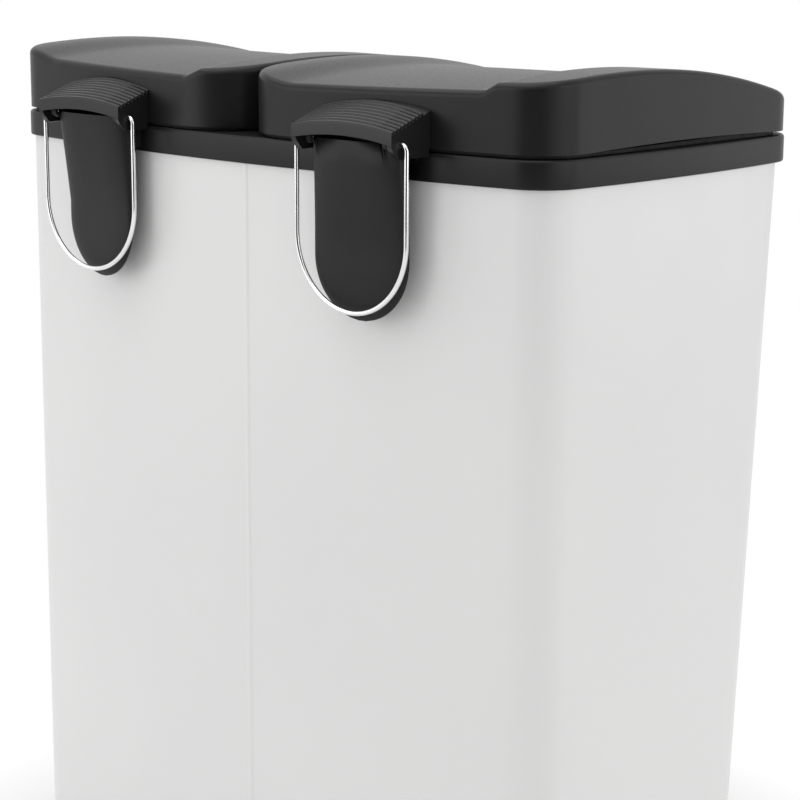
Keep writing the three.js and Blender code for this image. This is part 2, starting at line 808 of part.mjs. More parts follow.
const rightCapScrew = (hand) => {
  const [x, , z] = capScrew(hand, 0);
  const inside = rearFaceY(x + screw.head) - lid.inset - lid.wall - 2 * gap;
  return screwSolid([x, inside, z], 14);
};

const rightBracketScrew = (hand) => {
  const [x, , z] = bracketScrew(hand, 0);
  const inside = rearFaceY(x + screw.head) - sheet.inset - sheet.thick - 2 * gap;
  return screwSolid([x, inside, z], 14);
};

// ---------------------------------------------------------------- buckets
const bucketOutline = (inset) => openingOutline(bucket.clear + inset);

function rightBucket() {
  const { under, rimHeight, flange, wall, draft, floor, clear } = bucket;
  const top = collar.bottom - under;
  const bottom = base.deckTop + gap;
  const outer = (less) => [
    leaned(bucketOutline(flange + draft + less), bottom + (less ? floor : 0)),
    leaned(bucketOutline(flange + less), top - rimHeight),
    leaned(bucketOutline(flange + less), top + (less ? 1 : 0)),
  ];
  const rim = cut(
    loft([leaned(bucketOutline(0), top - rimHeight), leaned(bucketOutline(0), top)]),
    loft([leaned(bucketOutline(wall), top - rimHeight - 1), leaned(bucketOutline(wall), top - wall)]),
  );
  let solid = cut(join(loft(outer(0)), rim), loft(outer(wall)));
  const gripTop = top - bucket.gripBelow;
  const half = bucket.gripWidth / 2;
  const near = collar.bridge / 2 + clear;
  const far = plan.width / 2 + plan.sideBow - collar.wall - clear;
  const through = flange + wall + draft;
  for (const [x0, x1] of [[near - 1, near + through], [far - through, far + 1]]) {
    solid = cut(solid, block(x0, x1, -half, half, gripTop - bucket.gripHeight, gripTop));
  }
  return solid;
}

// ---------------------------------------------------------------- push rods, levers and pedals
const rodTop = axisZ + camRadius * cam.start - gap;
const padTop = lever.pivotZ - rearArm * Math.sin(leverRest) + lever.pad;

function rightRod() {
  const shank = rodTop - padTop - gap - rod.radius;
  const profile = [
    [0, 0],
    [rod.footRadius * 0.6, rod.footDome * 0.3],
    [rod.footRadius, rod.footDome],
    [rod.footRadius, rod.footHeight],
    [rod.radius, rod.footHeight],
    [rod.radius, shank],
    [rod.radius * 0.8, shank + rod.radius * 0.6],
    [rod.radius * 0.4, shank + rod.radius * 0.92],
    [0, shank + rod.radius],
  ].map(([x, y]) => new THREE.Vector2(x, y));
  const geometry = new THREE.LatheGeometry(profile, 10);
  geometry.rotateX(Math.PI / 2);
  geometry.translate(hinge.x, rodY, padTop + gap);
  return toSolid(geometry);
}

function rightGuide() {
  const { width, height, bottom, depth } = guide;
  const wallInset = sheet.inset + sheet.thick + gap;
  const outer = leanedPrism(bodyOutline, wallInset, bottom - 5, bottom + height + 5);
  const back = rearFaceY(hinge.x) - wallInset;
  const half = width / 2;
  const clip = block(hinge.x - half, hinge.x + half, back - depth, back + 5, bottom, bottom + height);
  return cut(
    clip.intersect(outer),
    rodSolid([hinge.x, rodY, bottom - 5], height + 10, rod.radius + running, 'z'),
  );
}

// The lever in its own level position, pivot at the origin, front towards -Y.
function leverSolid() {
  const { width, height, thick, tip, pad, pinRadius } = lever;
  const half = width / 2;
  const rear = rearArm + lever.past;
  const side = [
    [-tip, -thick],
    [-tip + 32, -thick],
    [-30, -height * 0.5],
    [-12, -height * 0.8],
    [0, -height * 0.9],
    [12, -height * 0.8],
    [rear - 20, -thick - 1],
    [rear, -thick - 1],
    [rear, pad],
    [30, pad],
    [0, height * 0.75],
    [-30, pad],
    [-tip + 30, thick],
    [-tip, thick],
  ];
  const channel = [
    [-tip + 34, -height],
    [rear - 22, -height],
    [rear - 22, pad - thick],
    [30, pad - thick],
    [0, height * 0.75 - thick],
    [-30, pad - thick],
    [-tip + 34, 0],
  ];
  const solid = cut(
    profileAlongX(side, -half, half),
    profileAlongX(channel, -half + thick, half - thick),
    rodSolid([-40, 0, 0], 80, pinRadius + running, 'x'),
  );
  return solid;
}

// The moulded tread that slides over the lever's front end.
function treadSolid() {
  const { width, length, thick, reach, ribs, ribHeight, curl } = tread;
  const half = width / 2;
  const back = -reach + length;
  const top = lever.thick + gap + thick - 1;
  const low = -lever.thick - gap - thick + 1;
  const points = [[back, low], [back, top]];
  const pitch = (length - 8) / ribs;
  for (let k = 0; k < ribs; k += 1) {
    const y = back - 4 - k * pitch;
    points.push([y, top], [y - pitch * 0.25, top + ribHeight], [y - pitch * 0.5, top + ribHeight]);
    points.push([y - pitch * 0.75, top]);
  }
  points.push([-reach + 2, top - 0.5], [-reach, top - 3], [-reach, low - curl + 8]);
  points.push([-reach + 3, low - curl + 7], [-reach + 5, low]);
  const outer = profileAlongX(points, -half, half);
  const pocket = block(
    -lever.width / 2 - gap,
    lever.width / 2 + gap,
    -lever.tip - gap,
    back + 1,
    -lever.thick - gap,
    lever.thick + gap,
  );
  return cut(outer, pocket);
}

const pinSolid = () => {
  const half = lever.width / 2 + base.lugWidth + 3;
  return join(
    rodSolid([-half, 0, 0], 2 * half, lever.pinRadius, 'x'),
    rodSolid([-half - 2, 0, 0], 2.01, lever.pinRadius + 2, 'x'),
    rodSolid([half - 0.01, 0, 0], 2, lever.pinRadius + 2, 'x'),
  );
};

// ---------------------------------------------------------------- materials
const finish = (colour, roughness, metalness = 0) =>
  new THREE.MeshStandardMaterial({ color: colour, roughness, metalness });
const whitePaint = () => finish(0xe4e4e2, 0.35);
const blackPlastic = () => finish(0x2e2e2f, 0.6);
const greyPlastic = () => finish(0x8d9093, 0.6);
const rubber = () => finish(0x1b1b1b, 0.9);
const chrome = () => finish(0xd8d8d8, 0.12, 1);
const zinc = () => finish(0xa9abad, 0.4, 1);

// ---------------------------------------------------------------- the bin
const bin = new THREE.Group();

function place(name, solid, material, parent = bin) {
  const mesh = new THREE.Mesh(toGeometry(solid), material);
  mesh.name = name;
  parent.add(mesh);
  return mesh;
}

function placePair(name, solid, material) {
  place(`${name}_right`, solid, material());
  place(`${name}_left`, mirrored(solid), material());
}

place('outer_sleeve', outerSleeve(), whitePaint());
place('rim_collar', rimCollar(), blackPlastic());
place('base', binBase(), blackPlastic());

for (const [end, y] of footEnds) {
  for (const [side, x] of [['left', -footX], ['right', footX]]) {
    place(`foot_${end}_${side}`, rubberFoot(), rubber()).position.set(x, y, 0);
  }
}

const keepOut = bodyKeepOut();
placePair('lid', rightLid(), blackPlastic);
placePair('lid_liner', rightLiner(), blackPlastic);
placePair('hinge_cap', rightCap(keepOut), blackPlastic);
placePair('hinge_bracket', rightBracket(keepOut), blackPlastic);
placePair('bail', rightBail(), chrome);
placePair('cap_screw_inner', rightCapScrew(-1), zinc);
placePair('cap_screw_outer', rightCapScrew(1), zinc);
placePair('bracket_screw_inner', rightBracketScrew(-1), zinc);
placePair('bracket_screw_outer', rightBracketScrew(1), zinc);
placePair('bucket', rightBucket(), greyPlastic);
placePair('push_rod', rightRod(), zinc);
placePair('rod_guide', rightGuide(), blackPlastic);

// each pedal group turns about its pin, with the rear end of its lever down at rest
for (const [side, x] of [['left', -hinge.x], ['right', hinge.x]]) {
  const pedal = new THREE.Group();
  pedal.position.set(x, pedalY, lever.pivotZ);
  pedal.rotation.x = -leverRest;
  place(`pedal_lever_${side}`, leverSolid(), zinc(), pedal);
  place(`pedal_tread_${side}`, treadSolid(), blackPlastic(), pedal);
  bin.add(pedal);
  place(`pedal_pin_${side}`, pinSolid(), zinc()).position.set(x, pedalY, lever.pivotZ);
}

// the origin sits under the middle of the box
const box = new THREE.Box3().setFromObject(bin, true);
bin.position.y = -(box.min.y + box.max.y) / 2;

export default bin;
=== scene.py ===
# %% [markdown]
# # A double recycling bin, dressed for its portrait
#
# The bin is a white enamelled sheet wrapped round two buckets. A dark plastic collar finishes its top
# edge, and two dished lids hinge at the rear, each on a wire bail held by a tongue-shaped bracket. This
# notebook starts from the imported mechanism, which stays where it is, and gives every piece the form and
# the finish that a camera sees.
#
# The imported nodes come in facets, because solids for physics want few faces. One could soften those
# facets, but their edges would still show in the gloss. So each node is replaced by a smoother piece that
# is modelled afresh from the same sizes and stands in exactly the same place.

import math

import bmesh
import bpy
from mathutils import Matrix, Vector


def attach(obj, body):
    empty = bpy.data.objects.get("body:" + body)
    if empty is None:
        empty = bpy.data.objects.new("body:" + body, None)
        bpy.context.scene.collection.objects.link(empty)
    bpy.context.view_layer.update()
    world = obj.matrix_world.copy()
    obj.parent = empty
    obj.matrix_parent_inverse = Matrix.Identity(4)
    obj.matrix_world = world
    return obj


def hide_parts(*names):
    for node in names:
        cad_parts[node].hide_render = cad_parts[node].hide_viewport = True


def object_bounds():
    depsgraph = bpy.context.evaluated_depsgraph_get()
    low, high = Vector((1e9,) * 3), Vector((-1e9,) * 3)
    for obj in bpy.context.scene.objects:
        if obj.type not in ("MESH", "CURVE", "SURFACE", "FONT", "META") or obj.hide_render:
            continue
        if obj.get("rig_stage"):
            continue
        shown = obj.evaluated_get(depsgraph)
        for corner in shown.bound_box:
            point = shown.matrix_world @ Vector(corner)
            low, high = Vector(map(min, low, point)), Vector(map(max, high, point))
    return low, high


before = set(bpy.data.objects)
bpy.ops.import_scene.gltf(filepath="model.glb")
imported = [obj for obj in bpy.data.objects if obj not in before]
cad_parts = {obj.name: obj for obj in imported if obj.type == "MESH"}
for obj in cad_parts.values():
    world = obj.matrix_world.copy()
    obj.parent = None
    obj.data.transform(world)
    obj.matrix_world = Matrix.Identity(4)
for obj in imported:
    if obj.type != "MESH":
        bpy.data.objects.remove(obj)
drawn_low, drawn_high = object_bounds()
print("mechanism:", len(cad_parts), "nodes,", [round(s, 4) for s in drawn_high - drawn_low], "m")

# %% [markdown]
# ## The drawing's sizes
#
# The plan of the bin is the region inside four large circles, one for each bowed side, with rounded
# corners. All sizes are in millimetres, as on the drawing, and one small function turns a drawn point
# into a point of the frame. Because every piece reads the same values, they meet without any fitting.

# %% Drawing values
MM = 0.001
MIDDLE_Y = -9.595  # from the drawing's zero to the frame's
FLOOR_LEAN = 36
WIDTH, DEPTH = 520, 268
REAR_BOW, FRONT_BOW, SIDE_BOW = 23, 14, 8
COLLAR_LOW, COLLAR_TOP = 579, 597.5
SHEET_INSET, SHEET_THICK, SHEET_FIT = 3, 0.8, 0.4
LID_LOW, LID_PEAK, LID_WALL = 600, 650, 2.5
HINGE_X, HINGE_REACH, HINGE_UP = 130, 20.7, 25.4
WIRE, WIRE_HOLE = 1.6, 1.95  # radius of the bail's wire, and of the bore that it turns in
SCREW_HOLE, SCREW_BOSS = 2.35, 4.8  # radii
ROD_BACK, ROD_HOLE = 9.5, 2.85  # the push rod stands so far in front of the collar's face
GAP = 0.3


def place(point):
    """A drawn point, in millimetres, as a point of the frame, in metres."""
    x, y, z = point
    return Vector((x * MM, (y + MIDDLE_Y) * MM, z * MM))


def bow_radius(chord, bow):
    """The radius of an arc from its chord and how far it bows out."""
    return chord * chord / (8 * bow) + bow / 2


REAR_ARC = bow_radius(WIDTH, REAR_BOW)
FRONT_ARC = bow_radius(WIDTH, FRONT_BOW)
SIDE_ARC = bow_radius(DEPTH, SIDE_BOW)
REAR_SIDE = (0, DEPTH / 2 + REAR_BOW - REAR_ARC, REAR_ARC)
FRONT_SIDE = (0, -DEPTH / 2 - FRONT_BOW + FRONT_ARC, FRONT_ARC)


def rear_face(x):
    """How far back the collar's rear face stands at this x."""
    return REAR_SIDE[1] + math.sqrt(REAR_ARC**2 - x * x)


FACE_Y = rear_face(HINGE_X)
AXIS_Y = FACE_Y + HINGE_REACH
AXIS_Z = COLLAR_LOW + HINGE_UP
print("hinge line at", [round(v, 4) for v in place((HINGE_X, AXIS_Y, AXIS_Z))])

# %% [markdown]
# ## Plan outlines
#
# Where two bowed sides meet, a smaller circle touches both from inside. Its centre lies where two circles
# cross, which schoolbook geometry gives. One could draw curves by hand instead, but taking this outline
# in by an inset only shortens the radii, so walls keep an even thickness round the corners.


# %% Outline helper
LEAST_CORNER = 8  # deep inside a lid, where an inset has used up the whole corner


def plan_outline(sides, corners, inset, side_steps, corner_steps):
    """Points round a region inside four circles (x, y, radius) with rounded corners (x, y, radius)."""
    reach = [radius - inset for _, _, radius in sides]
    fillets = []
    for i, (near_x, near_y, corner) in enumerate(corners):
        radius = max(corner - inset, LEAST_CORNER)
        following = (i + 1) % len(sides)
        (ax, ay, _), (bx, by, _) = sides[i], sides[following]
        ra, rb = reach[i] - radius, reach[following] - radius
        dx, dy = bx - ax, by - ay
        span = math.hypot(dx, dy)
        along = (span * span + ra * ra - rb * rb) / (2 * span)
        across = math.sqrt(max(ra * ra - along * along, 0))
        spots = []
        for sign in (1, -1):
            x = ax + (dx * along - sign * dy * across) / span
            y = ay + (dy * along + sign * dx * across) / span
            spots.append((math.hypot(x - near_x, y - near_y), x, y))
        _, x, y = min(spots)
        fillets.append((x, y, radius))
    points = []

    def heading(start, end):
        return math.atan2(end[1] - start[1], end[0] - start[0])

    def sweep(centre, radius, start, end, steps):
        turn = (end - start + math.pi) % (2 * math.pi) - math.pi
        for k in range(steps):
            angle = start + turn * k / steps
            points.append((centre[0] + radius * math.cos(angle), centre[1] + radius * math.sin(angle)))

    for i in range(len(sides)):
        before, after, nearest = fillets[i - 1], fillets[i], sides[(i + 1) % len(sides)]
        sweep(sides[i], reach[i], heading(sides[i], before), heading(sides[i], after), side_steps[i])
        sweep(after, after[2], heading(sides[i], after), heading(nearest, after), corner_steps)
    return points


# %% Outlines of the body, the openings and the lids
NEARLY_STRAIGHT = 1e5


def straight_side(x, hand):
    """A straight side, as a circle too large to see its curve."""
    return (x - hand * NEARLY_STRAIGHT, 0, NEARLY_STRAIGHT)


def bowed_side(hand, inset=0):
    return (hand * (WIDTH / 2 + SIDE_BOW - SIDE_ARC), 0, SIDE_ARC - inset)


def less(side, inset):
    """The same side, taken in."""
    return (side[0], side[1], side[2] - inset)


def body_outline(inset, rear_corner=36, front_corner=42):
    half, back, front = WIDTH / 2, DEPTH / 2, -DEPTH / 2
    corners = [(-half, back, rear_corner), (-half, front, front_corner)]
    corners += [(half, front, front_corner), (half, back, rear_corner)]
    sides = [REAR_SIDE, bowed_side(-1), FRONT_SIDE, bowed_side(1)]
    return plan_outline(sides, corners, inset, (40, 16, 24, 16), 12)


def opening_outline(inset):
    """The right-hand opening in the collar."""
    wall, bridge, corner = 14, 12, 24
    sides = [less(REAR_SIDE, wall), straight_side(bridge, -1), less(FRONT_SIDE, wall), bowed_side(1, wall)]
    half, back, front = WIDTH / 2, DEPTH / 2, -DEPTH / 2
    corners = [(bridge, back, corner), (bridge, front, corner), (half, front, corner), (half, back, corner)]
    return plan_outline(sides, corners, inset, (20, 4, 16, 10), 8)


LID_OUTER, LID_INNER, LID_SET_IN = 263, 1.5, 1
LID_MEETING_CORNER = 44  # where the two lids meet
REAR_CORNER, FRONT_CORNER = 33, 32  # of the collar and the lids, a little tighter than the sheet's
LID_SIDE_BOW = 2
LID_SIDE_ARC = bow_radius(DEPTH, LID_SIDE_BOW)


def lid_outline(inset):
    """The right-hand lid."""
    outer = (LID_OUTER - LID_SIDE_ARC, 0, LID_SIDE_ARC)
    sides = [less(REAR_SIDE, LID_SET_IN), straight_side(LID_INNER, -1), less(FRONT_SIDE, LID_SET_IN), outer]
    back, front = DEPTH / 2, -DEPTH / 2
    corners = [(LID_INNER, back, LID_MEETING_CORNER), (LID_INNER, front, LID_MEETING_CORNER)]
    corners += [(LID_OUTER, front, FRONT_CORNER), (LID_OUTER, back, REAR_CORNER)]
    return plan_outline(sides, corners, inset, (44, 16, 36, 20), 10)


def at_height(outline, z):
    return [(x, y, z) for x, y in outline]


def leaned(outline, z):
    """The front comes in towards the floor, by a share of the depth in front of the rear chord."""
    share = 1 - FLOOR_LEAN * max(COLLAR_LOW - z, 0) / (COLLAR_LOW * DEPTH)
    back = DEPTH / 2
    return [(x, back - (back - y) * share if y < back else y, z) for x, y in outline]


print("outline points: body", len(body_outline(0)), "lid", len(lid_outline(0)))

# %% [markdown]
# ## Growing a piece ring by ring
#
# Most of these mouldings are one outline carried upwards while it changes a little. By hand one would add
# a circle, fit it to the first outline, extrude it, fit the new ring to the next outline, and so on. This
# helper does the same with the same operators, then fills the two ends. It keeps quads in even rows,
# which shade more smoothly than what a boolean leaves.


# %% Selecting
def alone():
    """Leaves edit mode and deselects everything, because an operator acts on all that is selected."""
    if bpy.context.object and bpy.context.object.mode != "OBJECT":
        bpy.ops.object.mode_set(mode="OBJECT")
    bpy.ops.object.select_all(action="DESELECT")


def only(piece):
    alone()
    piece.select_set(True)
    bpy.context.view_layer.objects.active = piece


# %% Growing
def fit_selected(piece, points, known=None):
    """Moves the selected ring onto these points, in order, and returns where each one now is."""
    mesh = bmesh.from_edit_mesh(piece.data)
    ring = [v for v in mesh.verts if v.select]
    ring.sort(key=lambda v: known[tuple(v.co)] if known else v.index)
    for vertex, point in zip(ring, points):
        vertex.co = place(point)
    bmesh.update_edit_mesh(piece.data)
    return {tuple(vertex.co): i for i, vertex in enumerate(ring)}


def grow(name, rings):
    """A closed piece through rings of the same count."""
    alone()
    bpy.ops.mesh.primitive_circle_add(vertices=len(rings[0]), radius=0.1)
    piece = bpy.context.object
    piece.name = piece.data.name = name
    bpy.ops.object.mode_set(mode="EDIT")
    bpy.ops.mesh.select_all(action="SELECT")
    known = fit_selected(piece, rings[0])
    for ring in rings[1:]:
        bpy.ops.mesh.extrude_edges_move()
        known = fit_selected(piece, ring, known)
    bpy.ops.mesh.select_all(action="SELECT")
    bpy.ops.mesh.fill_holes(sides=0)
    bpy.ops.mesh.select_all(action="SELECT")
    bpy.ops.mesh.normals_make_consistent(inside=False)
    bpy.ops.object.mode_set(mode="OBJECT")
    return piece


# %% [markdown]
# ## Cutting, rounding and copying
#
# Holes and hollows are cut with boolean modifiers, each applied at once and its tool thrown away. A bevel
# modifier then rolls the sharp edges, as a real mould does, and weighted normals let the large faces stay
# flat in the gloss. Left-hand pieces are mirrored copies, turned the right way out again.


# %% Modifier helpers
def apply(piece, kind, **settings):
    """Adds a modifier, sets it up and applies it."""
    only(piece)
    modifier = piece.modifiers.new(kind.title(), kind)
    for key, value in settings.items():
        setattr(modifier, key, value)
    bpy.ops.object.modifier_apply(modifier=modifier.name)
    return piece


def carve(piece, *tools, how="DIFFERENCE"):
    """Cuts, joins or keeps what is shared with each tool, and removes the tool."""
    for tool in tools:
        apply(piece, "BOOLEAN", operation=how, object=tool, solver="EXACT")
        bpy.data.objects.remove(tool)
    return piece


def soften(piece, width=0.0, segments=2, angle=35):
    """Rounds the sharp edges by so many millimetres and shades the rest smooth."""
    if width:
        apply(
            piece,
            "BEVEL",
            width=width * MM,
            segments=segments,
            limit_method="ANGLE",
            angle_limit=math.radians(angle),
        )
    only(piece)
    bpy.ops.object.shade_smooth_by_angle(angle=math.radians(angle))
    return piece


def settled(piece):
    """Lets each large flat face set its own shading, so that rounded edges don't tint it."""
    return apply(piece, "WEIGHTED_NORMAL", keep_sharp=True, weight=80)


# %% Copies and plain tools
def mirrored(piece, name):
    """A left-hand copy of a right-hand piece, with a mesh of its own and its faces turned outwards."""
    twin = piece.copy()
    twin.data = piece.data.copy()
    twin.name = twin.data.name = name
    bpy.context.collection.objects.link(twin)
    only(twin)
    bpy.ops.object.mode_set(mode="EDIT")
    bpy.ops.mesh.select_all(action="SELECT")
    bpy.ops.transform.resize(value=(-1, 1, 1), center_override=(0, 0, 0))
    bpy.ops.mesh.remove_doubles(threshold=1e-7)
    bpy.ops.mesh.normals_make_consistent(inside=False)
    bpy.ops.object.mode_set(mode="OBJECT")
    return twin


def box_piece(x0, x1, y0, y1, z0, z1, name="cutter"):
    """A block between drawn limits, for cutting or joining."""
    alone()
    low, high = place((x0, y0, z0)), place((x1, y1, z1))
    bpy.ops.mesh.primitive_cube_add(size=1, location=(low + high) / 2)
    piece = bpy.context.object
    piece.name = name
    bpy.ops.object.mode_set(mode="EDIT")
    bpy.ops.transform.resize(value=tuple(high - low), center_override=tuple((low + high) / 2))
    bpy.ops.object.mode_set(mode="OBJECT")
    bpy.ops.object.transform_apply(location=True)
    return piece


TURN = {"x": (0, math.pi / 2, 0), "y": (math.pi / 2, 0, 0), "z": (0, 0, 0)}


def round_piece(start, length, radius, axis, name="cutter", sides=32):
    """A round bar of this length, from a drawn point along an axis."""
    alone()
    middle = list(start)
    middle["xyz".index(axis)] += length / 2
    bpy.ops.mesh.primitive_cylinder_add(
        vertices=sides, radius=radius * MM, depth=length * MM, location=place(middle), rotation=TURN[axis]
    )
    piece = bpy.context.object
    piece.name = name
    bpy.ops.object.transform_apply(location=True, rotation=True)
    return piece


# %% Carried-over nodes, and fastening
def refined(node, width=0.0, angle=35):
    """A merged copy of a mechanism node, with its flat faces joined and its edges eased."""
    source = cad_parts[node]
    piece = source.copy()
    piece.data = source.data.copy()
    piece.name = piece.data.name = node + "_finished"
    piece.parent = None
    for key in [k for k in piece.keys() if k.startswith("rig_")]:
        del piece[key]
    bpy.context.collection.objects.link(piece)
    only(piece)
    bpy.ops.object.mode_set(mode="EDIT")
    bpy.ops.mesh.select_all(action="SELECT")
    bpy.ops.mesh.remove_doubles(threshold=2e-6)
    bpy.ops.mesh.dissolve_limited(angle_limit=math.radians(1))
    bpy.ops.object.mode_set(mode="OBJECT")
    return soften(piece, width, angle=angle)


def fasten(piece, body, slot, *nodes):
    """The piece moves with a body and stands for these nodes; the slot is not used."""
    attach(piece, body)
    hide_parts(*nodes)
    print(f"{piece.name}: {len(piece.data.polygons)} faces, rides on {body}")
    return piece


# %% [markdown]
# ## Finishes
#
# Each finish is a small node tree that reads Object coordinates, so a pattern stays put when the piece
# moves with its joint. Scales are per metre: a noise of scale 1000 has grains of about a millimetre.
# Broad, faint variation keeps large faces from looking computer-flat, and a fine bump carries the
# texture of the mould or of the paint. A flat colour would be quicker, but no real surface is so even.


# %% Node helpers
def finish_material(name, **values):
    """A new material with constant values on its shader's own sockets."""
    material = bpy.data.materials.new(name)
    material.use_nodes = True
    shader = material.node_tree.nodes["Principled BSDF"]
    for key, value in values.items():
        shader.inputs[key].default_value = value
    return material, material.node_tree, shader


def grain(tree, scale, detail=3.0, stretch=(1, 1, 1)):
    """A noise over the piece's own place, stretched along an axis where the finish has a direction."""
    spot = tree.nodes.new("ShaderNodeTexCoord")
    mapping = tree.nodes.new("ShaderNodeMapping")
    mapping.inputs["Scale"].default_value = stretch
    noise = tree.nodes.new("ShaderNodeTexNoise")
    noise.inputs["Scale"].default_value = scale
    noise.inputs["Detail"].default_value = detail
    tree.links.new(spot.outputs["Object"], mapping.inputs["Vector"])
    tree.links.new(mapping.outputs["Vector"], noise.inputs["Vector"])
    return noise.outputs["Fac"]


def ranged(tree, factor, low, high, start=0.35, end=0.65):
    """Spreads the middle of a noise, or another range, from low to high."""
    spread = tree.nodes.new("ShaderNodeMapRange")
    spread.inputs["From Min"].default_value = start
    spread.inputs["From Max"].default_value = end
    spread.inputs["To Min"].default_value = low
    spread.inputs["To Max"].default_value = high
    tree.links.new(factor, spread.inputs["Value"])
    return spread.outputs["Result"]


def blended(tree, factor, first, second):
    """One colour going over into another."""
    mix = tree.nodes.new("ShaderNodeMix")
    mix.data_type = "RGBA"
    mix.inputs["A"].default_value = (*first, 1)
    mix.inputs["B"].default_value = (*second, 1)
    tree.links.new(factor, mix.inputs["Factor"])
    return mix.outputs["Result"]


def raised(tree, shader, *layers):
    """Stacks bumps: each layer is a factor and a depth in metres."""
    normal = None
    for factor, depth in layers:
        bump = tree.nodes.new("ShaderNodeBump")
        bump.inputs["Strength"].default_value = 1.0
        bump.inputs["Distance"].default_value = depth
        tree.links.new(factor, bump.inputs["Height"])
        if normal:
            tree.links.new(normal, bump.inputs["Normal"])
        normal = bump.outputs["Normal"]
    tree.links.new(normal, shader.inputs["Normal"])


# %% [markdown]
# ### White enamel
#
# Baked enamel on thin sheet is smooth with a faint orange peel, and the sheet under it is never quite
# flat. So there are two bumps: one with waves of nearly half a metre, half a millimetre deep, and one as
# fine as the peel. A thin coat layer gives the second, sharper gloss that enamel has over its colour.


# %% Enamel on the sheet
def enamel(name, colour, deeper):
    material, tree, shader = finish_material(name, **{"Coat Weight": 0.15, "Coat Roughness": 0.2})
    broad = ranged(tree, grain(tree, 3.0, 2.0), 0.0, 1.0)
    tree.links.new(blended(tree, broad, colour, deeper), shader.inputs["Base Color"])
    tree.links.new(ranged(tree, grain(tree, 40.0, 4.0), 0.34, 0.42), shader.inputs["Roughness"])
    waviness, peel = (grain(tree, 2.2, 1.0), 0.0006), (grain(tree, 650.0, 2.0), 0.00001)
    raised(tree, shader, waviness, peel)
    return material


white_enamel = enamel("white_enamel", (0.80, 0.80, 0.795), (0.77, 0.77, 0.768))
print("made", white_enamel.name)

# %% [markdown]
# ### Moulded plastics
#
# All the dark mouldings are nearly the same black, but they come from different tools: the hoods were
# polished a little more and the tongues a little less, so each has its own gloss and depth of texture. The
# hoods' black is also a little paler, as painted sheen for the light that their ribs catch, and the tongues'
# black is a shade paler still. Roughness varies in grains of about two millimetres, as a spark-eroded mould
# leaves it.


# %% Moulded plastics
ROUGH_SPREAD = 0.025


def moulded(name, colour, paler, rough, texture=0.000015, gloss=0.2):
    """A satin plastic: texture is the mould's depth in metres."""
    material, tree, shader = finish_material(name, **{"Specular IOR Level": gloss})
    broad = ranged(tree, grain(tree, 9.0, 4.0), 0.0, 1.0)
    tree.links.new(blended(tree, broad, colour, paler), shader.inputs["Base Color"])
    satin = ranged(tree, grain(tree, 520.0, 3.0), rough - ROUGH_SPREAD, rough + ROUGH_SPREAD)
    tree.links.new(satin, shader.inputs["Roughness"])
    raised(tree, shader, (grain(tree, 1300.0, 2.0), texture))
    return material


black_moulding = moulded("black_moulding", (0.0095, 0.0095, 0.0098), (0.0112, 0.0112, 0.0116), 0.36)
# The hood's black is paler than the lids': painted sheen for the light on its ribs.
hood_moulding_painted_sheen = moulded(
    "hood_moulding_painted_sheen", (0.0105, 0.0105, 0.0108), (0.0125, 0.0125, 0.0128), 0.31, 0.000007, 0.27
)
bracket_moulding = moulded("bracket_moulding", (0.0118, 0.0118, 0.0122), (0.0140, 0.0140, 0.0144), 0.44)
grey_moulding = moulded("grey_moulding", (0.26, 0.27, 0.28), (0.29, 0.30, 0.31), 0.5)
print("made", [m.name for m in (black_moulding, hood_moulding_painted_sheen, bracket_moulding, grey_moulding)])

# %% [markdown]
# ### Rubber and metals
#
# Rubber is dull, with a fine tooth. Drawn wire and plated rod carry faint lines along their length, which
# a noise gives once it is stretched along the axis that the wire runs in. Depth stays under a thousandth
# of a millimetre, because plating mirrors and would show anything deeper as dents.


# %% Rubber, plated wire and zinc
def soft_rubber(name):
    material, tree, shader = finish_material(name, **{"Specular IOR Level": 0.3})
    bloom = ranged(tree, grain(tree, 60.0, 4.0), 0, 1)
    greyed = blended(tree, bloom, (0.012, 0.012, 0.012), (0.02, 0.02, 0.02))
    tree.links.new(greyed, shader.inputs["Base Color"])
    tree.links.new(ranged(tree, grain(tree, 200.0), 0.7, 0.85), shader.inputs["Roughness"])
    raised(tree, shader, (grain(tree, 1500.0), 0.00002))
    return material


def plated(name, colour, low, high, stretch):
    material, tree, shader = finish_material(name, **{"Metallic": 1.0})
    drawn = grain(tree, 900.0, 3.0, stretch)
    cloudy = ranged(tree, grain(tree, 30.0, 4.0), 0, 1)
    dimmer = [c * 0.92 for c in colour]
    tree.links.new(blended(tree, cloudy, colour, dimmer), shader.inputs["Base Color"])
    tree.links.new(ranged(tree, drawn, low, high), shader.inputs["Roughness"])
    raised(tree, shader, (drawn, 0.0000008))
    return material


foot_rubber = soft_rubber("foot_rubber")
bright_plating = plated("bright_plating", (0.82, 0.82, 0.82), 0.12, 0.2, (1, 1, 0.1))
zinc_plating = plated("zinc_plating", (0.58, 0.59, 0.60), 0.3, 0.42, (1, 0.08, 1))
print("finishes:", [m.name for m in bpy.data.materials if m.use_nodes][-7:])


def coat(piece, material):
    piece.data.materials.clear()
    piece.data.materials.append(material)
    return piece


# %% [markdown]
# ## The sheet wrap
#
# The body is one enamelled sheet bent round the buckets and locked by a folded seam a little off the
# middle of the rear. Its upper edge hides in the collar's groove and its lower edge in the base. It is
# grown from the plan outline, hollowed by the same outline one sheet's thickness further in, and the
# pedal openings are cut through its front.

# %% Folded seam
SEAM_PROUD = 0.7
# Each pair is a place across the wall and the height of the fold there, as a share of SEAM_PROUD.
SEAM_STEP = [(-10, -0.4), (-10, 0.05), (-12, 0.8), (-13.4, 1.0), (-14.3, 0.96)]
SEAM_STEP += [(-14.9, 0.62), (-15.5, 0.22), (-16.2, 0.03), (-18, 0.02), (-18, -0.4)]


def folded_seam(z):
    """The lock of the sheet, pressed down at one side and feathered out at the other."""
    return [(x, rear_face(x) - SHEET_INSET + share * SEAM_PROUD, z) for x, share in SEAM_STEP]


print("seam:", SEAM_STEP[0][0] - SEAM_STEP[-1][0], "mm wide,", SEAM_PROUD, "mm proud")

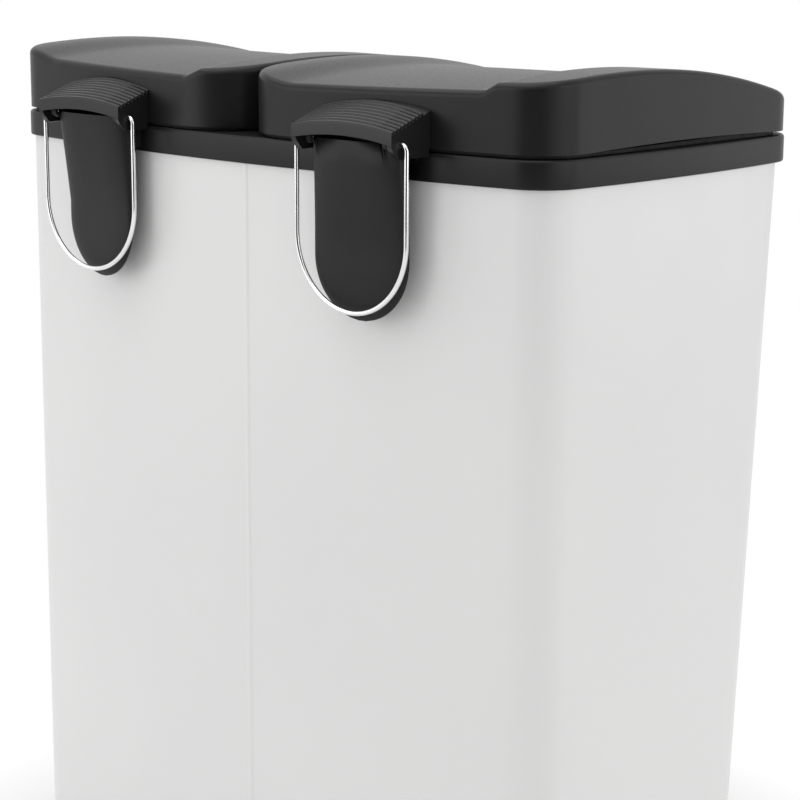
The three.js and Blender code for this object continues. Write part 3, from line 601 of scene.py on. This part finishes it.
# %% Sheet wrap
SHEET_LOW, SHEET_TOP = 22, 593
PEDAL_HALF, PEDAL_TOP = 36.3, 64.3
heights = [SHEET_LOW, 120, 240, 360, 480, COLLAR_LOW, SHEET_TOP]
wrap = grow("sheet_wrap", [leaned(body_outline(SHEET_INSET), z) for z in heights])
inside = body_outline(SHEET_INSET + SHEET_THICK)
hollow = grow("cutter", [leaned(inside, z) for z in (SHEET_LOW - 1, 300, COLLAR_LOW, SHEET_TOP + 1)])
carve(wrap, hollow)
for hand in (-1, 1):
    middle = hand * HINGE_X
    carve(wrap, box_piece(middle - PEDAL_HALF, middle + PEDAL_HALF, -160, -50, 0, PEDAL_TOP))
seam = grow("seam", [folded_seam(z) for z in (30.3, 300, COLLAR_LOW - GAP)])
carve(wrap, seam, how="UNION")
soften(wrap, angle=20)
coat(wrap, white_enamel)
fasten(wrap, "bin", "white_sheet", "outer_sleeve")

# %% [markdown]
# ## The collar
#
# A moulded rim that caps the sheet. Its edges are rolled over a two-millimetre radius, which catches a
# thin line of light along the top. A bevel could round a plain block, but would round the openings just
# as much, so the rings walk up the rounded section, and the two openings for the buckets are cut after.

# %% Collar
SKIN = 0.5  # keeps the finer curve within the mechanism's outline
UNDER, OVER = 570, 600  # heights that a cutter runs between to pass right through
# Each pair is an inset and a height, from the lower edge up and over to the flat top.
rim_section = [(2.2, COLLAR_LOW), (1.4, 579.05), (0.9, 579.3), (SKIN + 0.1, 579.8), (SKIN, 580.6)]
rim_section += [(SKIN, 588), (SKIN, 595.2), (SKIN + 0.12, 596), (SKIN + 0.5, 596.7), (1.5, 597.2)]
rim_section += [(2.4, 597.45), (3.4, COLLAR_TOP), (7, COLLAR_TOP)]
collar_edge = [at_height(body_outline(inset, REAR_CORNER, FRONT_CORNER), z) for inset, z in rim_section]
collar = grow("collar", collar_edge)
sheet_inside = body_outline(SHEET_INSET + SHEET_THICK + SHEET_FIT)
inner_groove = grow("cutter_b", [at_height(sheet_inside, z) for z in (UNDER, OVER)])
sheet_outside = body_outline(SHEET_INSET - SHEET_FIT)
groove = grow("cutter_a", [at_height(sheet_outside, z) for z in (COLLAR_LOW - 1, SHEET_TOP + GAP)])
carve(groove, inner_groove)
carve(collar, groove)
right_opening = grow("opening", [at_height(opening_outline(0), z) for z in (UNDER, OVER)])
left_opening = mirrored(right_opening, "opening_left")
carve(collar, right_opening, left_opening)
for hand in (-1, 1):
    carve(collar, round_piece((hand * HINGE_X, FACE_Y - ROD_BACK, UNDER), 40, ROD_HOLE, "z"))
soften(collar)
coat(collar, black_moulding)
fasten(collar, "bin", "black_plastic", "rim_collar")

# %% [markdown]
# ## The lids
#
# Each lid arches from the hinges to the front and is dished between two broad ridges, so that its rear
# edge shows a shallow wave. One flank of the dish is crisp and the other gentle, and because both lids
# come from one mould, the gentle one is on the same side of each. A sculpted patch could give this form,
# but then the rolled edge would have to be matched to it by hand. So the height of the top is one
# formula, and the rings follow it from the skirt, round the rolled edge and in towards the middle.

# %% Lid form
EDGE_ROUND = 4.5
ARCH_AT, CREST, REAR_DROP, FRONT_DROP = 88, 647.6, 7.4, 31.5
REAR_RUN, FRONT_RUN = ARCH_AT + REAR_BOW, DEPTH + FRONT_BOW - ARCH_AT
DISH = 5.0
TILT, LEVEL = 2.5, 0.8  # each lid falls a little towards the middle of the bin
CRISP, GENTLE, GENTLE_FROM = 12, 42, 16  # the dish's two flanks: a crisp one and a gentle one
RIDGE_INNER, RIDGE_OUTER = 33, 41  # plain width of the ridge beside the crisp flank
SIDE_LIFT, LIFT_BAND, LIFT_RUN = 2.2, 30, 24  # the skirt's lift, and where across the lid it comes in
LIFT_MIDDLE, LIFT_HALF = -6, 105


def eased(t):
    """A smooth step from nought to one."""
    t = min(max(t, 0), 1)
    return t * t * (3 - 2 * t)


def lid_height(x, y, hand):
    """Both lids come from one mould, so the gentle flank of the dish is on the same side of each."""
    forward = DEPTH / 2 - y
    if forward < ARCH_AT:
        ridge = CREST - REAR_DROP * ((ARCH_AT - forward) / REAR_RUN) ** 2
    else:
        ridge = CREST - FRONT_DROP * ((forward - ARCH_AT) / FRONT_RUN) ** 2
    outer, inner = LID_OUTER - x, x - LID_INNER
    gentle, crisp = (outer, inner - RIDGE_INNER) if hand > 0 else (inner, outer - RIDGE_OUTER)
    dish = DISH * eased((gentle - GENTLE_FROM) / GENTLE) * eased(crisp / CRISP)
    return ridge - dish - TILT * outer / (LID_OUTER - LID_INNER) + LEVEL


LID_MIDDLE = ((LID_INNER + LID_OUTER) / 2, (FACE_Y - DEPTH / 2) / 2 - 4)
print("lid's top at its middle:", round(lid_height(*LID_MIDDLE, 1), 1), "mm above the floor")


# %% Lid rings
def skirt_low(x, y, low):
    """The skirt's edge rises a little along the outer side, where a finger lifts the lid."""
    outward = eased((x - LID_OUTER + LIFT_BAND) / LIFT_RUN)
    return low + SIDE_LIFT * outward * max(1 - ((y - LIFT_MIDDLE) / LIFT_HALF) ** 2, 0)


def lid_rings(hand, inward, low, round_steps, insets, shares):
    """From the skirt's edge up and round, then in by insets, and at last in by shares of what is left."""
    radius = max(EDGE_ROUND - inward, 2)
    rings = [[(x, y, skirt_low(x, y, low)) for x, y in lid_outline(inward)]]
    for k in range(round_steps + 1):
        angle = math.pi / 2 * k / round_steps
        drop = inward + radius * (1 - math.sin(angle))
        outline = lid_outline(inward + radius * (1 - math.cos(angle)))
        rings.append([(x, y, lid_height(x, y, hand) - drop) for x, y in outline])
    for inset in insets:
        rings.append([(x, y, lid_height(x, y, hand) - inward) for x, y in lid_outline(inset)])
    last = lid_outline(insets[-1])
    for share in shares:
        ring = []
        for px, py in last:
            x = LID_MIDDLE[0] + (px - LID_MIDDLE[0]) * share
            y = LID_MIDDLE[1] + (py - LID_MIDDLE[1]) * share
            ring.append((x, y, lid_height(x, y, hand) - inward))
        rings.append(ring)
    if hand < 0:
        rings = [[(-x, y, z) for x, y, z in ring] for ring in rings]
    return rings


def lid_top(hand, inward, low):
    """Rings are closest where the flanks of the dish turn."""
    steps = [7, 10, 14, 18, 22, 26, 30, 33, 36, 38, 40, 42, 44, 46, 48, 50, 54, 60]
    return lid_rings(hand, inward, low, 7, steps, [0.85, 0.7, 0.55, 0.4, 0.25, 0.12, 0.04])


# %% [markdown]
# ### The lifting cam
#
# Under each lid hangs a thin web that the push rod lifts by. If its lower edge were straight, the rod
# would slide along it and lift the lid ever more slowly. The involute of a circle round the hinge keeps
# the push square to the web, so equal steps of the rod give equal angles of the lid.

# %% Lifting cam profile
CAM_CIRCLE = HINGE_REACH + ROD_BACK
CAM_START = 0.1  # of the circle's radius, at rest
CAM_STEPS = 24
LID_OPEN = math.radians(75)


def cam_profile():
    """The involute of a circle round the hinge line, which the push rod rides along."""
    under = []
    for k in range(CAM_STEPS + 1):
        turn = LID_OPEN * k / CAM_STEPS
        rise = CAM_CIRCLE * (CAM_START + turn)
        y = AXIS_Y - CAM_CIRCLE * math.cos(turn) - rise * math.sin(turn)
        under.append((y, AXIS_Z - CAM_CIRCLE * math.sin(turn) + rise * math.cos(turn)))
    back, web = under[0][0] + 2.5, under[-1][0] - 5
    return [(back, LID_PEAK), (web, LID_PEAK), (web, under[-1][1] + 1), *reversed(under), (back, under[0][1])]


print("rod rises", round(CAM_CIRCLE * LID_OPEN, 1), "mm to open a lid")

# %% Lid shells
CAP_SCREW_APART, CAP_SCREW_Z = 27, 615
CAM_HALF, ROOM_HALF = 4, 5


def lid_shell(hand, name):
    middle = hand * HINGE_X
    shell = grow(name, lid_top(hand, 0, LID_LOW))
    carve(shell, grow("cutter", lid_top(hand, LID_WALL, LID_LOW - 1)))
    faces = (middle - CAM_HALF, middle + CAM_HALF)
    cam = grow("cam", [[(x, y, z) for y, z in cam_profile()] for x in faces])
    room = grow("room", lid_top(hand, LID_WALL / 2, LID_LOW))
    below = box_piece(middle - ROOM_HALF, middle + ROOM_HALF, 60, 160, 500, LID_LOW + 10)
    carve(room, below, how="UNION")
    carve(cam, room, how="INTERSECT")
    carve(shell, cam, how="UNION")
    for side in (-1, 1):
        start = (middle + side * CAP_SCREW_APART, FACE_Y - 13, CAP_SCREW_Z)
        carve(shell, round_piece(start, 30, SCREW_HOLE, "y"))
    soften(shell, 0.4, 2, 40)
    return coat(settled(shell), black_moulding)


for hand, side in ((1, "right"), (-1, "left")):
    shell = lid_shell(hand, "lid_shell_" + side)
    fasten(shell, "lid_" + side, "black_plastic", "lid_" + side)

# %% [markdown]
# ## Hinge caps
#
# A ribbed hood over each hinge, arched across its width. Its side is drawn once, with the fine ribs
# along the sloping top, and carried across from cheek to cheek. A bump in the material would be cheaper,
# but these ribs show in the outline of the cheek, so they are real. Everything of the bin's body is then
# cut out of its back, so it sits on the bowed wall without a gap or a clash.

# %% Cap profile
CAP_HALF, CAP_FRONT, CAP_BACK = 44.2, 30, -12
RIB_BASE, RIB_END, RIBS = 32, 45, 9
SLOPE = (RIB_END - RIB_BASE) / CAP_FRONT
ARCH_RISE, ARCH_GAIN = 4, 2.4
# One rib: each pair is a share of the pitch and a height over the slope.
RIB = [(0.03, -0.75), (0.08, 0.8), (0.13, 1.02), (0.2, 1.08), (0.54, 1.04), (0.6, 0.85), (0.68, -0.75)]


def arch(u, out=CAP_FRONT):
    """The hood's rise across its width, a little stronger towards the lid."""
    aside = (u / CAP_HALF) ** 2
    return ARCH_RISE * (1 - aside) - ARCH_GAIN * aside * (CAP_FRONT - out) / (CAP_FRONT - CAP_BACK)


def cap_side(back):
    """The side in reach and height: under the cheek, up the front band and along the ribs."""
    points = [(back, 18.6), (24, 16.5), (28.6, 21.5), (29.9, 23.8), (CAP_FRONT, 24.8)]
    points.append((CAP_FRONT, RIB_BASE - 0.4))
    pitch = CAP_FRONT / RIBS
    for k in range(RIBS):
        out = CAP_FRONT - k * pitch
        for along, up in RIB if k else RIB[1:]:
            points.append((out - along * pitch, RIB_BASE + SLOPE * (k + along) * pitch + up))
    points.append((back, RIB_BASE + SLOPE * (CAP_FRONT - back)))
    return points


def across(points, half, steps):
    """Carries a side profile of reach and height across the cap, lifted by its arch."""
    rings = []
    for k in range(steps + 1):
        u = -half + 2 * half * k / steps
        rings.append([(HINGE_X + u, FACE_Y + out, COLLAR_LOW + z + arch(u, out)) for out, z in points])
    return rings


def body_room():
    """What the rear fittings are cut back from: sheet, collar and lid, each let out by the gap."""
    room = grow("body_room", [at_height(body_outline(SHEET_INSET - GAP), z) for z in (380, 579.1)])
    rim = grow("rim_room", [at_height(body_outline(-GAP), z) for z in (578.7, 599.8)])
    top = grow("lid_room", [at_height(lid_outline(-GAP), z) for z in (599.7, 690)])
    return carve(carve(room, rim, how="UNION"), top, how="UNION")


print("hood:", 2 * CAP_HALF, "mm wide,", RIBS, "ribs")

# %% Caps
HOLLOW_HALF, CAP_WALL = 40, 2.6
cap = grow("hinge_hood_right", across(cap_side(CAP_BACK), CAP_HALF, 24))
under = RIB_BASE - CAP_WALL
hollow_side = [(-14, 0), (31, 0), (31, 24.6), (27.5, 24.6)]
hollow_side += [(27.5, under + SLOPE * 2.5), (-14, under + SLOPE * 44)]
carve(cap, grow("cutter", across(hollow_side, HOLLOW_HALF, 20)))
for hand in (-1, 1):
    u = HINGE_X + hand * CAP_SCREW_APART
    boss = round_piece((u, FACE_Y - 2, CAP_SCREW_Z), 23.5, SCREW_BOSS, "y", "boss")
    carve(boss, grow("cutter", across(cap_side(CAP_BACK), CAP_HALF, 8)), how="INTERSECT")
    carve(cap, boss, how="UNION")
    carve(cap, round_piece((u, FACE_Y - 4, CAP_SCREW_Z), 18, SCREW_HOLE, "y"))
carve(cap, round_piece((HINGE_X - 60, AXIS_Y, AXIS_Z), 120, WIRE_HOLE, "x"))
carve(cap, body_room())
soften(cap, 0.22, 2, 62)
coat(cap, hood_moulding_painted_sheen)
cap_left = settled(mirrored(cap, "hinge_hood_left"))
settled(cap)
fasten(cap, "lid_right", "black_plastic", "hinge_cap_right")
fasten(cap_left, "lid_left", "black_plastic", "hinge_cap_left")

# %% [markdown]
# ## Hinge brackets
#
# The crowned tongue under each hood carries the wire. Its sections are superellipses, fuller than an
# ellipse and softer than a box, that shrink to a round tip and turn a little to lie along the bowed
# wall. A bevelled box would show a flat front with two hard lines of light. Inside its open top two ears
# hold the ends of the wire, and the hood's band swings over them.


# %% Bracket sections
BRACKET_HALF, BRACKET_RIM, BRACKET_WALL = 38.1, 10, 3
BRACKET_TOP, STRAIGHT_FROM, ROUND_FROM, TIP = 25, -40, -51, -91.5
CROWN = 3.1
REACH_TOP, REACH_FALL = 24.5, 9.3
EAR_FROM, EAR, EAR_RADIUS = 31.5, 5, 4.5
SECTION_STEPS, TIP_STEPS = 40, 18


def bracket_section(height, inward, back):
    """One section, from its back edge round the crown and back again."""
    low = min(max((ROUND_FROM - height) / (ROUND_FROM - TIP), 0), 1)
    full = math.sqrt(1 - low * low)
    fall = min(max((BRACKET_TOP - height) / (BRACKET_TOP - STRAIGHT_FROM), 0), 1)
    reach = REACH_TOP - REACH_FALL * fall
    turn = fall * HINGE_X / (FACE_Y - REAR_SIDE[1])
    crown = max((reach - BRACKET_RIM) * full - inward, GAP)
    half = max(BRACKET_HALF * full, 4) - inward
    ring = []
    for k in range(SECTION_STEPS + 1):
        angle = math.pi * k / SECTION_STEPS
        across_share = math.copysign(abs(math.cos(angle)) ** (2 / CROWN), math.cos(angle))
        ring.append((half * across_share, BRACKET_RIM + crown * math.sin(angle) ** (2 / CROWN)))
    if back < BRACKET_RIM:
        ring = [(half, back), *ring, (-half, back)]
    return [(HINGE_X + u, FACE_Y + out - turn * u, COLLAR_LOW + height) for u, out in ring]


def bracket_form(name, inward, rise, back):
    """Sections from the round tip up to the open top, and on by a rise where a cutter has to pass."""
    rings = []
    for k in range(TIP_STEPS + 1):
        angle = math.pi / 2 * (1 - k / TIP_STEPS)
        height = ROUND_FROM + (TIP + inward - ROUND_FROM) * math.sin(angle)
        rings.append(bracket_section(height, inward, back))
    for height in (STRAIGHT_FROM, -24, -8, 8, BRACKET_TOP):
        rings.append(bracket_section(height, inward, back))
    if rise:
        rings.append([(x, y, z + rise) for x, y, z in bracket_section(BRACKET_TOP, inward, back)])
    return grow(name, rings)


print("tongue:", 2 * BRACKET_HALF, "mm wide,", BRACKET_TOP - TIP, "mm long")

# %% Brackets
BRACKET_SCREW_APART, BRACKET_SCREW_Z, POST_DROP = 16, 547, 22
bracket = bracket_form("hinge_bracket_right_body", 0, 0, BRACKET_RIM)
carve(bracket, bracket_form("cutter", BRACKET_WALL, 5, BRACKET_RIM - 5))
for hand in (-1, 1):
    u = HINGE_X + hand * BRACKET_SCREW_APART
    boss = round_piece((u, FACE_Y - 10, BRACKET_SCREW_Z), 40, SCREW_BOSS, "y", "boss")
    carve(boss, bracket_form("cutter", 0, 0, -26), how="INTERSECT")
    carve(bracket, boss, how="UNION")
    start = HINGE_X + (EAR_FROM if hand > 0 else -EAR_FROM - EAR)
    end = start + EAR
    carve(bracket, round_piece((start, AXIS_Y, AXIS_Z), EAR, EAR_RADIUS, "x", "ear"), how="UNION")
    carve(bracket, box_piece(start, end, FACE_Y - 3, AXIS_Y, AXIS_Z - EAR_RADIUS, AXIS_Z), how="UNION")
    post_back = FACE_Y + BRACKET_RIM + BRACKET_WALL
    carve(bracket, box_piece(start, end, FACE_Y - 3, post_back, AXIS_Z - POST_DROP, AXIS_Z), how="UNION")
carve(bracket, body_room())
carve(bracket, round_piece((HINGE_X - 60, AXIS_Y, AXIS_Z), 120, WIRE_HOLE, "x"))
for hand in (-1, 1):
    u = HINGE_X + hand * BRACKET_SCREW_APART
    carve(bracket, round_piece((u, FACE_Y - 12, BRACKET_SCREW_Z), 25, SCREW_HOLE, "y"))
soften(bracket, 0.4, 2, 50)
coat(bracket, bracket_moulding)
bracket_left = settled(mirrored(bracket, "hinge_bracket_left_body"))
settled(bracket)
fasten(bracket, "bin", "black_plastic", "hinge_bracket_right")
fasten(bracket_left, "bin", "black_plastic", "hinge_bracket_left")

# %% [markdown]
# ## Wire bails
#
# A round wire, bent cold: inwards at both ends, down both legs and round a half circle. A curve with a
# round section would do, but bending is just what extrude and spin do, so here the ring of the wire's
# section is pushed along the legs and spun round the bends.


# %% Bail
END_AT, END_RUN, BEND = 32, 11.5, 5  # each end runs in from its leg, round a tight bend
LEG_AT, LEG_LOW = 48.5, -62
LEG_RUN = -BEND - LEG_LOW


def push(dx, dz):
    bpy.ops.mesh.extrude_edges_move(TRANSFORM_OT_translate={"value": (dx * MM, 0, dz * MM)})


def spin(u, z, degrees, steps):
    centre = place((HINGE_X + u, AXIS_Y, AXIS_Z + z))
    bpy.ops.mesh.spin(steps=steps, angle=-math.radians(degrees), center=centre, axis=(0, 1, 0))


alone()
bpy.ops.mesh.primitive_circle_add(
    vertices=20,
    radius=WIRE * MM,
    location=place((HINGE_X + END_AT, AXIS_Y, AXIS_Z)),
    rotation=(0, math.pi / 2, 0),
)
bail = bpy.context.object
bail.name = bail.data.name = "wire_bail_right"
bpy.ops.object.transform_apply(location=True, rotation=True)
bpy.ops.object.mode_set(mode="EDIT")
bpy.ops.mesh.select_all(action="SELECT")
push(END_RUN, 0)
spin(LEG_AT - BEND, -BEND, 90, 10)
push(0, -LEG_RUN)
spin(0, LEG_LOW, 180, 64)
push(0, LEG_RUN)
spin(BEND - LEG_AT, -BEND, 90, 10)
push(END_RUN, 0)
bpy.ops.mesh.select_all(action="SELECT")
bpy.ops.mesh.remove_doubles(threshold=1e-6)
bpy.ops.mesh.fill_holes(sides=0)
bpy.ops.mesh.normals_make_consistent(inside=False)
bpy.ops.object.mode_set(mode="OBJECT")
soften(bail, 0.3, 2, 50)
coat(bail, bright_plating)
print("bail reaches", [round(v, 4) for v in bail.bound_box[0]], [round(v, 4) for v in bail.bound_box[6]])
bail_left = mirrored(bail, "wire_bail_left")
fasten(bail, "bail_right", "bright_wire", "bail_right")
fasten(bail_left, "bail_left", "bright_wire", "bail_left")

# %% [markdown]
# ## Base, buckets and pedals
#
# These are right as drawn and mostly hidden. They could be modelled afresh like the rest, but a merged
# copy of each node is enough: flat faces are dissolved into single faces and the edges eased, which
# gives a moulding its highlights.

# %% Hidden and lower pieces
# Each row: node, body, slot, material, and how far its edges are eased.
LOWER = [
    ("base", "bin", "black_plastic", black_moulding, 0.0),
    ("bucket_{}", "bin", "grey_plastic", grey_moulding, 0.0),
    ("rod_guide_{}", "bin", "black_plastic", black_moulding, 0.4),
    ("pedal_pin_{}", "bin", "zinc_steel", zinc_plating, 0.0),
    ("push_rod_{}", "rod_{}", "zinc_steel", zinc_plating, 0.0),
    ("pedal_lever_{}", "pedal_{}", "zinc_steel", zinc_plating, 0.4),
    ("pedal_tread_{}", "pedal_{}", "black_plastic", black_moulding, 0.4),
    ("lid_liner_{}", "lid_{}", "seal_rubber", foot_rubber, 0.3),
    ("cap_screw_inner_{}", "lid_{}", "zinc_steel", zinc_plating, 0.0),
    ("cap_screw_outer_{}", "lid_{}", "zinc_steel", zinc_plating, 0.0),
    ("bracket_screw_inner_{}", "bin", "zinc_steel", zinc_plating, 0.0),
    ("bracket_screw_outer_{}", "bin", "zinc_steel", zinc_plating, 0.0),
    ("foot_front_{}", "bin", "rubber", foot_rubber, 0.4),
    ("foot_rear_{}", "bin", "rubber", foot_rubber, 0.4),
]
for pattern, body, slot, material, width in LOWER:
    for side in ("left", "right") if "{}" in pattern else ("",):
        node = pattern.format(side)
        coat(refined(node, width, 40), material)
        fasten(bpy.data.objects[node + "_finished"], body.format(side), slot, node)

# %% [markdown]
# ## Floor, light and camera
#
# A pale floor runs away behind the bin. Near the bin it keeps the soft shadow; further off it fades to
# plain white, both for the camera and for what the gloss mirrors. One could make the floor white with
# more light, but that would bleach the enamel too. Large, soft lamps stand above and at three sides, as
# in a product studio, and the camera stands where the photograph was taken from.


# %% Floor
alone()
bpy.ops.mesh.primitive_grid_add(x_subdivisions=8, y_subdivisions=8, size=30, location=(0, 0, -0.0005))
floor = bpy.context.object
floor.name = "studio_floor"
floor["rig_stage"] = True


def background_rays(tree):
    """One for the rays that should find a white studio: the camera's, and those off gloss or glass."""
    path = tree.nodes.new("ShaderNodeLightPath")
    total = path.outputs["Is Camera Ray"]
    for name in ("Is Glossy Ray", "Is Transmission Ray"):
        larger = tree.nodes.new("ShaderNodeMath")
        larger.operation = "MAXIMUM"
        tree.links.new(total, larger.inputs[0])
        tree.links.new(path.outputs[name], larger.inputs[1])
        total = larger.outputs[0]
    return total


def studio_white(name, near, far):
    """Matt and shaded up to near, in metres from the middle, and plain white from far on."""
    material = bpy.data.materials.new(name)
    material.use_nodes = True
    tree = material.node_tree
    tree.nodes.clear()
    out = tree.nodes.new("ShaderNodeOutputMaterial")
    matt = tree.nodes.new("ShaderNodeBsdfDiffuse")
    matt.inputs["Color"].default_value = (0.9, 0.9, 0.9, 1)
    glow = tree.nodes.new("ShaderNodeEmission")
    glow.inputs["Strength"].default_value = 1.0
    mix = tree.nodes.new("ShaderNodeMixShader")
    spot = tree.nodes.new("ShaderNodeTexCoord")
    distance = tree.nodes.new("ShaderNodeVectorMath")
    distance.operation = "LENGTH"
    seen = background_rays(tree)
    both = tree.nodes.new("ShaderNodeMath")
    both.operation = "MULTIPLY"
    tree.links.new(spot.outputs["Object"], distance.inputs[0])
    tree.links.new(seen, both.inputs[0])
    tree.links.new(ranged(tree, distance.outputs["Value"], 0, 1, near, far), both.inputs[1])
    tree.links.new(both.outputs[0], mix.inputs[0])
    tree.links.new(matt.outputs[0], mix.inputs[1])
    tree.links.new(glow.outputs[0], mix.inputs[2])
    tree.links.new(mix.outputs[0], out.inputs["Surface"])
    return material


coat(floor, studio_white("studio_white", 0.24, 0.42))
print("floor:", floor.name, "turns white between 0.24 and 0.42 m from the middle")

# %% World
world = bpy.data.worlds.new("studio_world")
bpy.context.scene.world = world
world.use_nodes = True
backdrop = world.node_tree.nodes["Background"]
backdrop.inputs["Color"].default_value = (1, 1, 1, 1)
white_for = background_rays(world.node_tree)
world.node_tree.links.new(ranged(world.node_tree, white_for, 0.5, 1.0, 0, 1), backdrop.inputs["Strength"])


# %% Lamps
def lamp(name, place_m, aim_m, size, power):
    """A softbox at a place, turned towards another, both in metres, with its power in watts."""
    light = bpy.data.lights.new(name, "AREA")
    light.shape = "RECTANGLE"
    light.size, light.size_y = size
    light.energy = power
    holder = bpy.data.objects.new(name, light)
    bpy.context.collection.objects.link(holder)
    holder.location = place_m
    holder.rotation_mode = "QUATERNION"
    holder.rotation_quaternion = (Vector(aim_m) - Vector(place_m)).to_track_quat("-Z", "Y")
    return holder


lamp("overhead_softbox", (0.2, 0.3, 2.6), (0, 0, 0.4), (2.4, 2.0), 26)
lamp("left_softbox", (1.55, 2.5, 1.3), (0, 0, 0.45), (2.0, 2.2), 22.5)
lamp("right_softbox", (-2.8, -0.2, 1.2), (0, 0, 0.4), (1.8, 1.8), 15)
lamp("side_softbox", (-2.0, -2.1, 0.8), (0, 0, 0.5), (1.6, 1.6), 8)
print("lamps:", [light.name for light in bpy.data.lights])

# %% [markdown]
# ### A dark flag
#
# Black plastic shows mostly what it mirrors. Photographers hang black cloth beside the camera to draw the
# edge between two faces, and the photograph shows such a dark band where the rear turns into the side.
# The cloth here is black only in what the gloss mirrors, so it takes no light from the white enamel.

# %% Dark flag
alone()
bpy.ops.mesh.primitive_grid_add(
    x_subdivisions=4,
    y_subdivisions=4,
    size=2.0,
    location=(-1.25, 2.35, 0.85),
    rotation=(math.pi / 2, 0, math.radians(28)),
)
flag = bpy.context.object
flag.name = "dark_flag"
flag.scale = (1.6, 1, 1)
bpy.ops.object.transform_apply(location=True, rotation=True, scale=True)
flag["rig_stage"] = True


def flag_cloth():
    """Black in what the gloss mirrors, and clear to all else: the camera may stand behind it."""
    material = bpy.data.materials.new("flag_cloth")
    material.use_nodes = True
    tree = material.node_tree
    shader = tree.nodes["Principled BSDF"]
    shader.inputs["Base Color"].default_value = (0.02, 0.02, 0.02, 1)
    shader.inputs["Roughness"].default_value = 0.9
    clear = tree.nodes.new("ShaderNodeBsdfTransparent")
    mix = tree.nodes.new("ShaderNodeMixShader")
    path = tree.nodes.new("ShaderNodeLightPath")
    tree.links.new(path.outputs["Is Glossy Ray"], mix.inputs[0])
    tree.links.new(clear.outputs[0], mix.inputs[1])
    tree.links.new(shader.outputs[0], mix.inputs[2])
    tree.links.new(mix.outputs[0], tree.nodes["Material Output"].inputs["Surface"])
    return material


coat(flag, flag_cloth())
print("flag:", [round(side, 2) for side in flag.dimensions], "m")

# %% Camera
SENSOR, FOCAL_PIXELS, PICTURE = 36, 2201.5, 800
camera = bpy.data.cameras.new("portrait_camera")
camera.sensor_width = SENSOR
camera.lens = SENSOR * FOCAL_PIXELS / PICTURE
camera.clip_start = 0.05
holder = bpy.data.objects.new("portrait_camera", camera)
bpy.context.collection.objects.link(holder)
holder.location = (-1.101665, 1.149634, 0.741310)
holder.rotation_euler = [math.radians(a) for a in (77.613536, -0.298349, -136.713001)]
bpy.context.scene.camera = holder
bpy.context.scene.view_settings.view_transform = "Standard"
print("lens:", round(camera.lens, 1), "mm")

# %% Sizes, and the end
shown_low, shown_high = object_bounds()
low_over = [round((a - b) / MM, 2) for a, b in zip(shown_low, drawn_low)]
high_over = [round((a - b) / MM, 2) for a, b in zip(shown_high, drawn_high)]
print("visual box over the mechanism's, mm:", low_over, high_over)
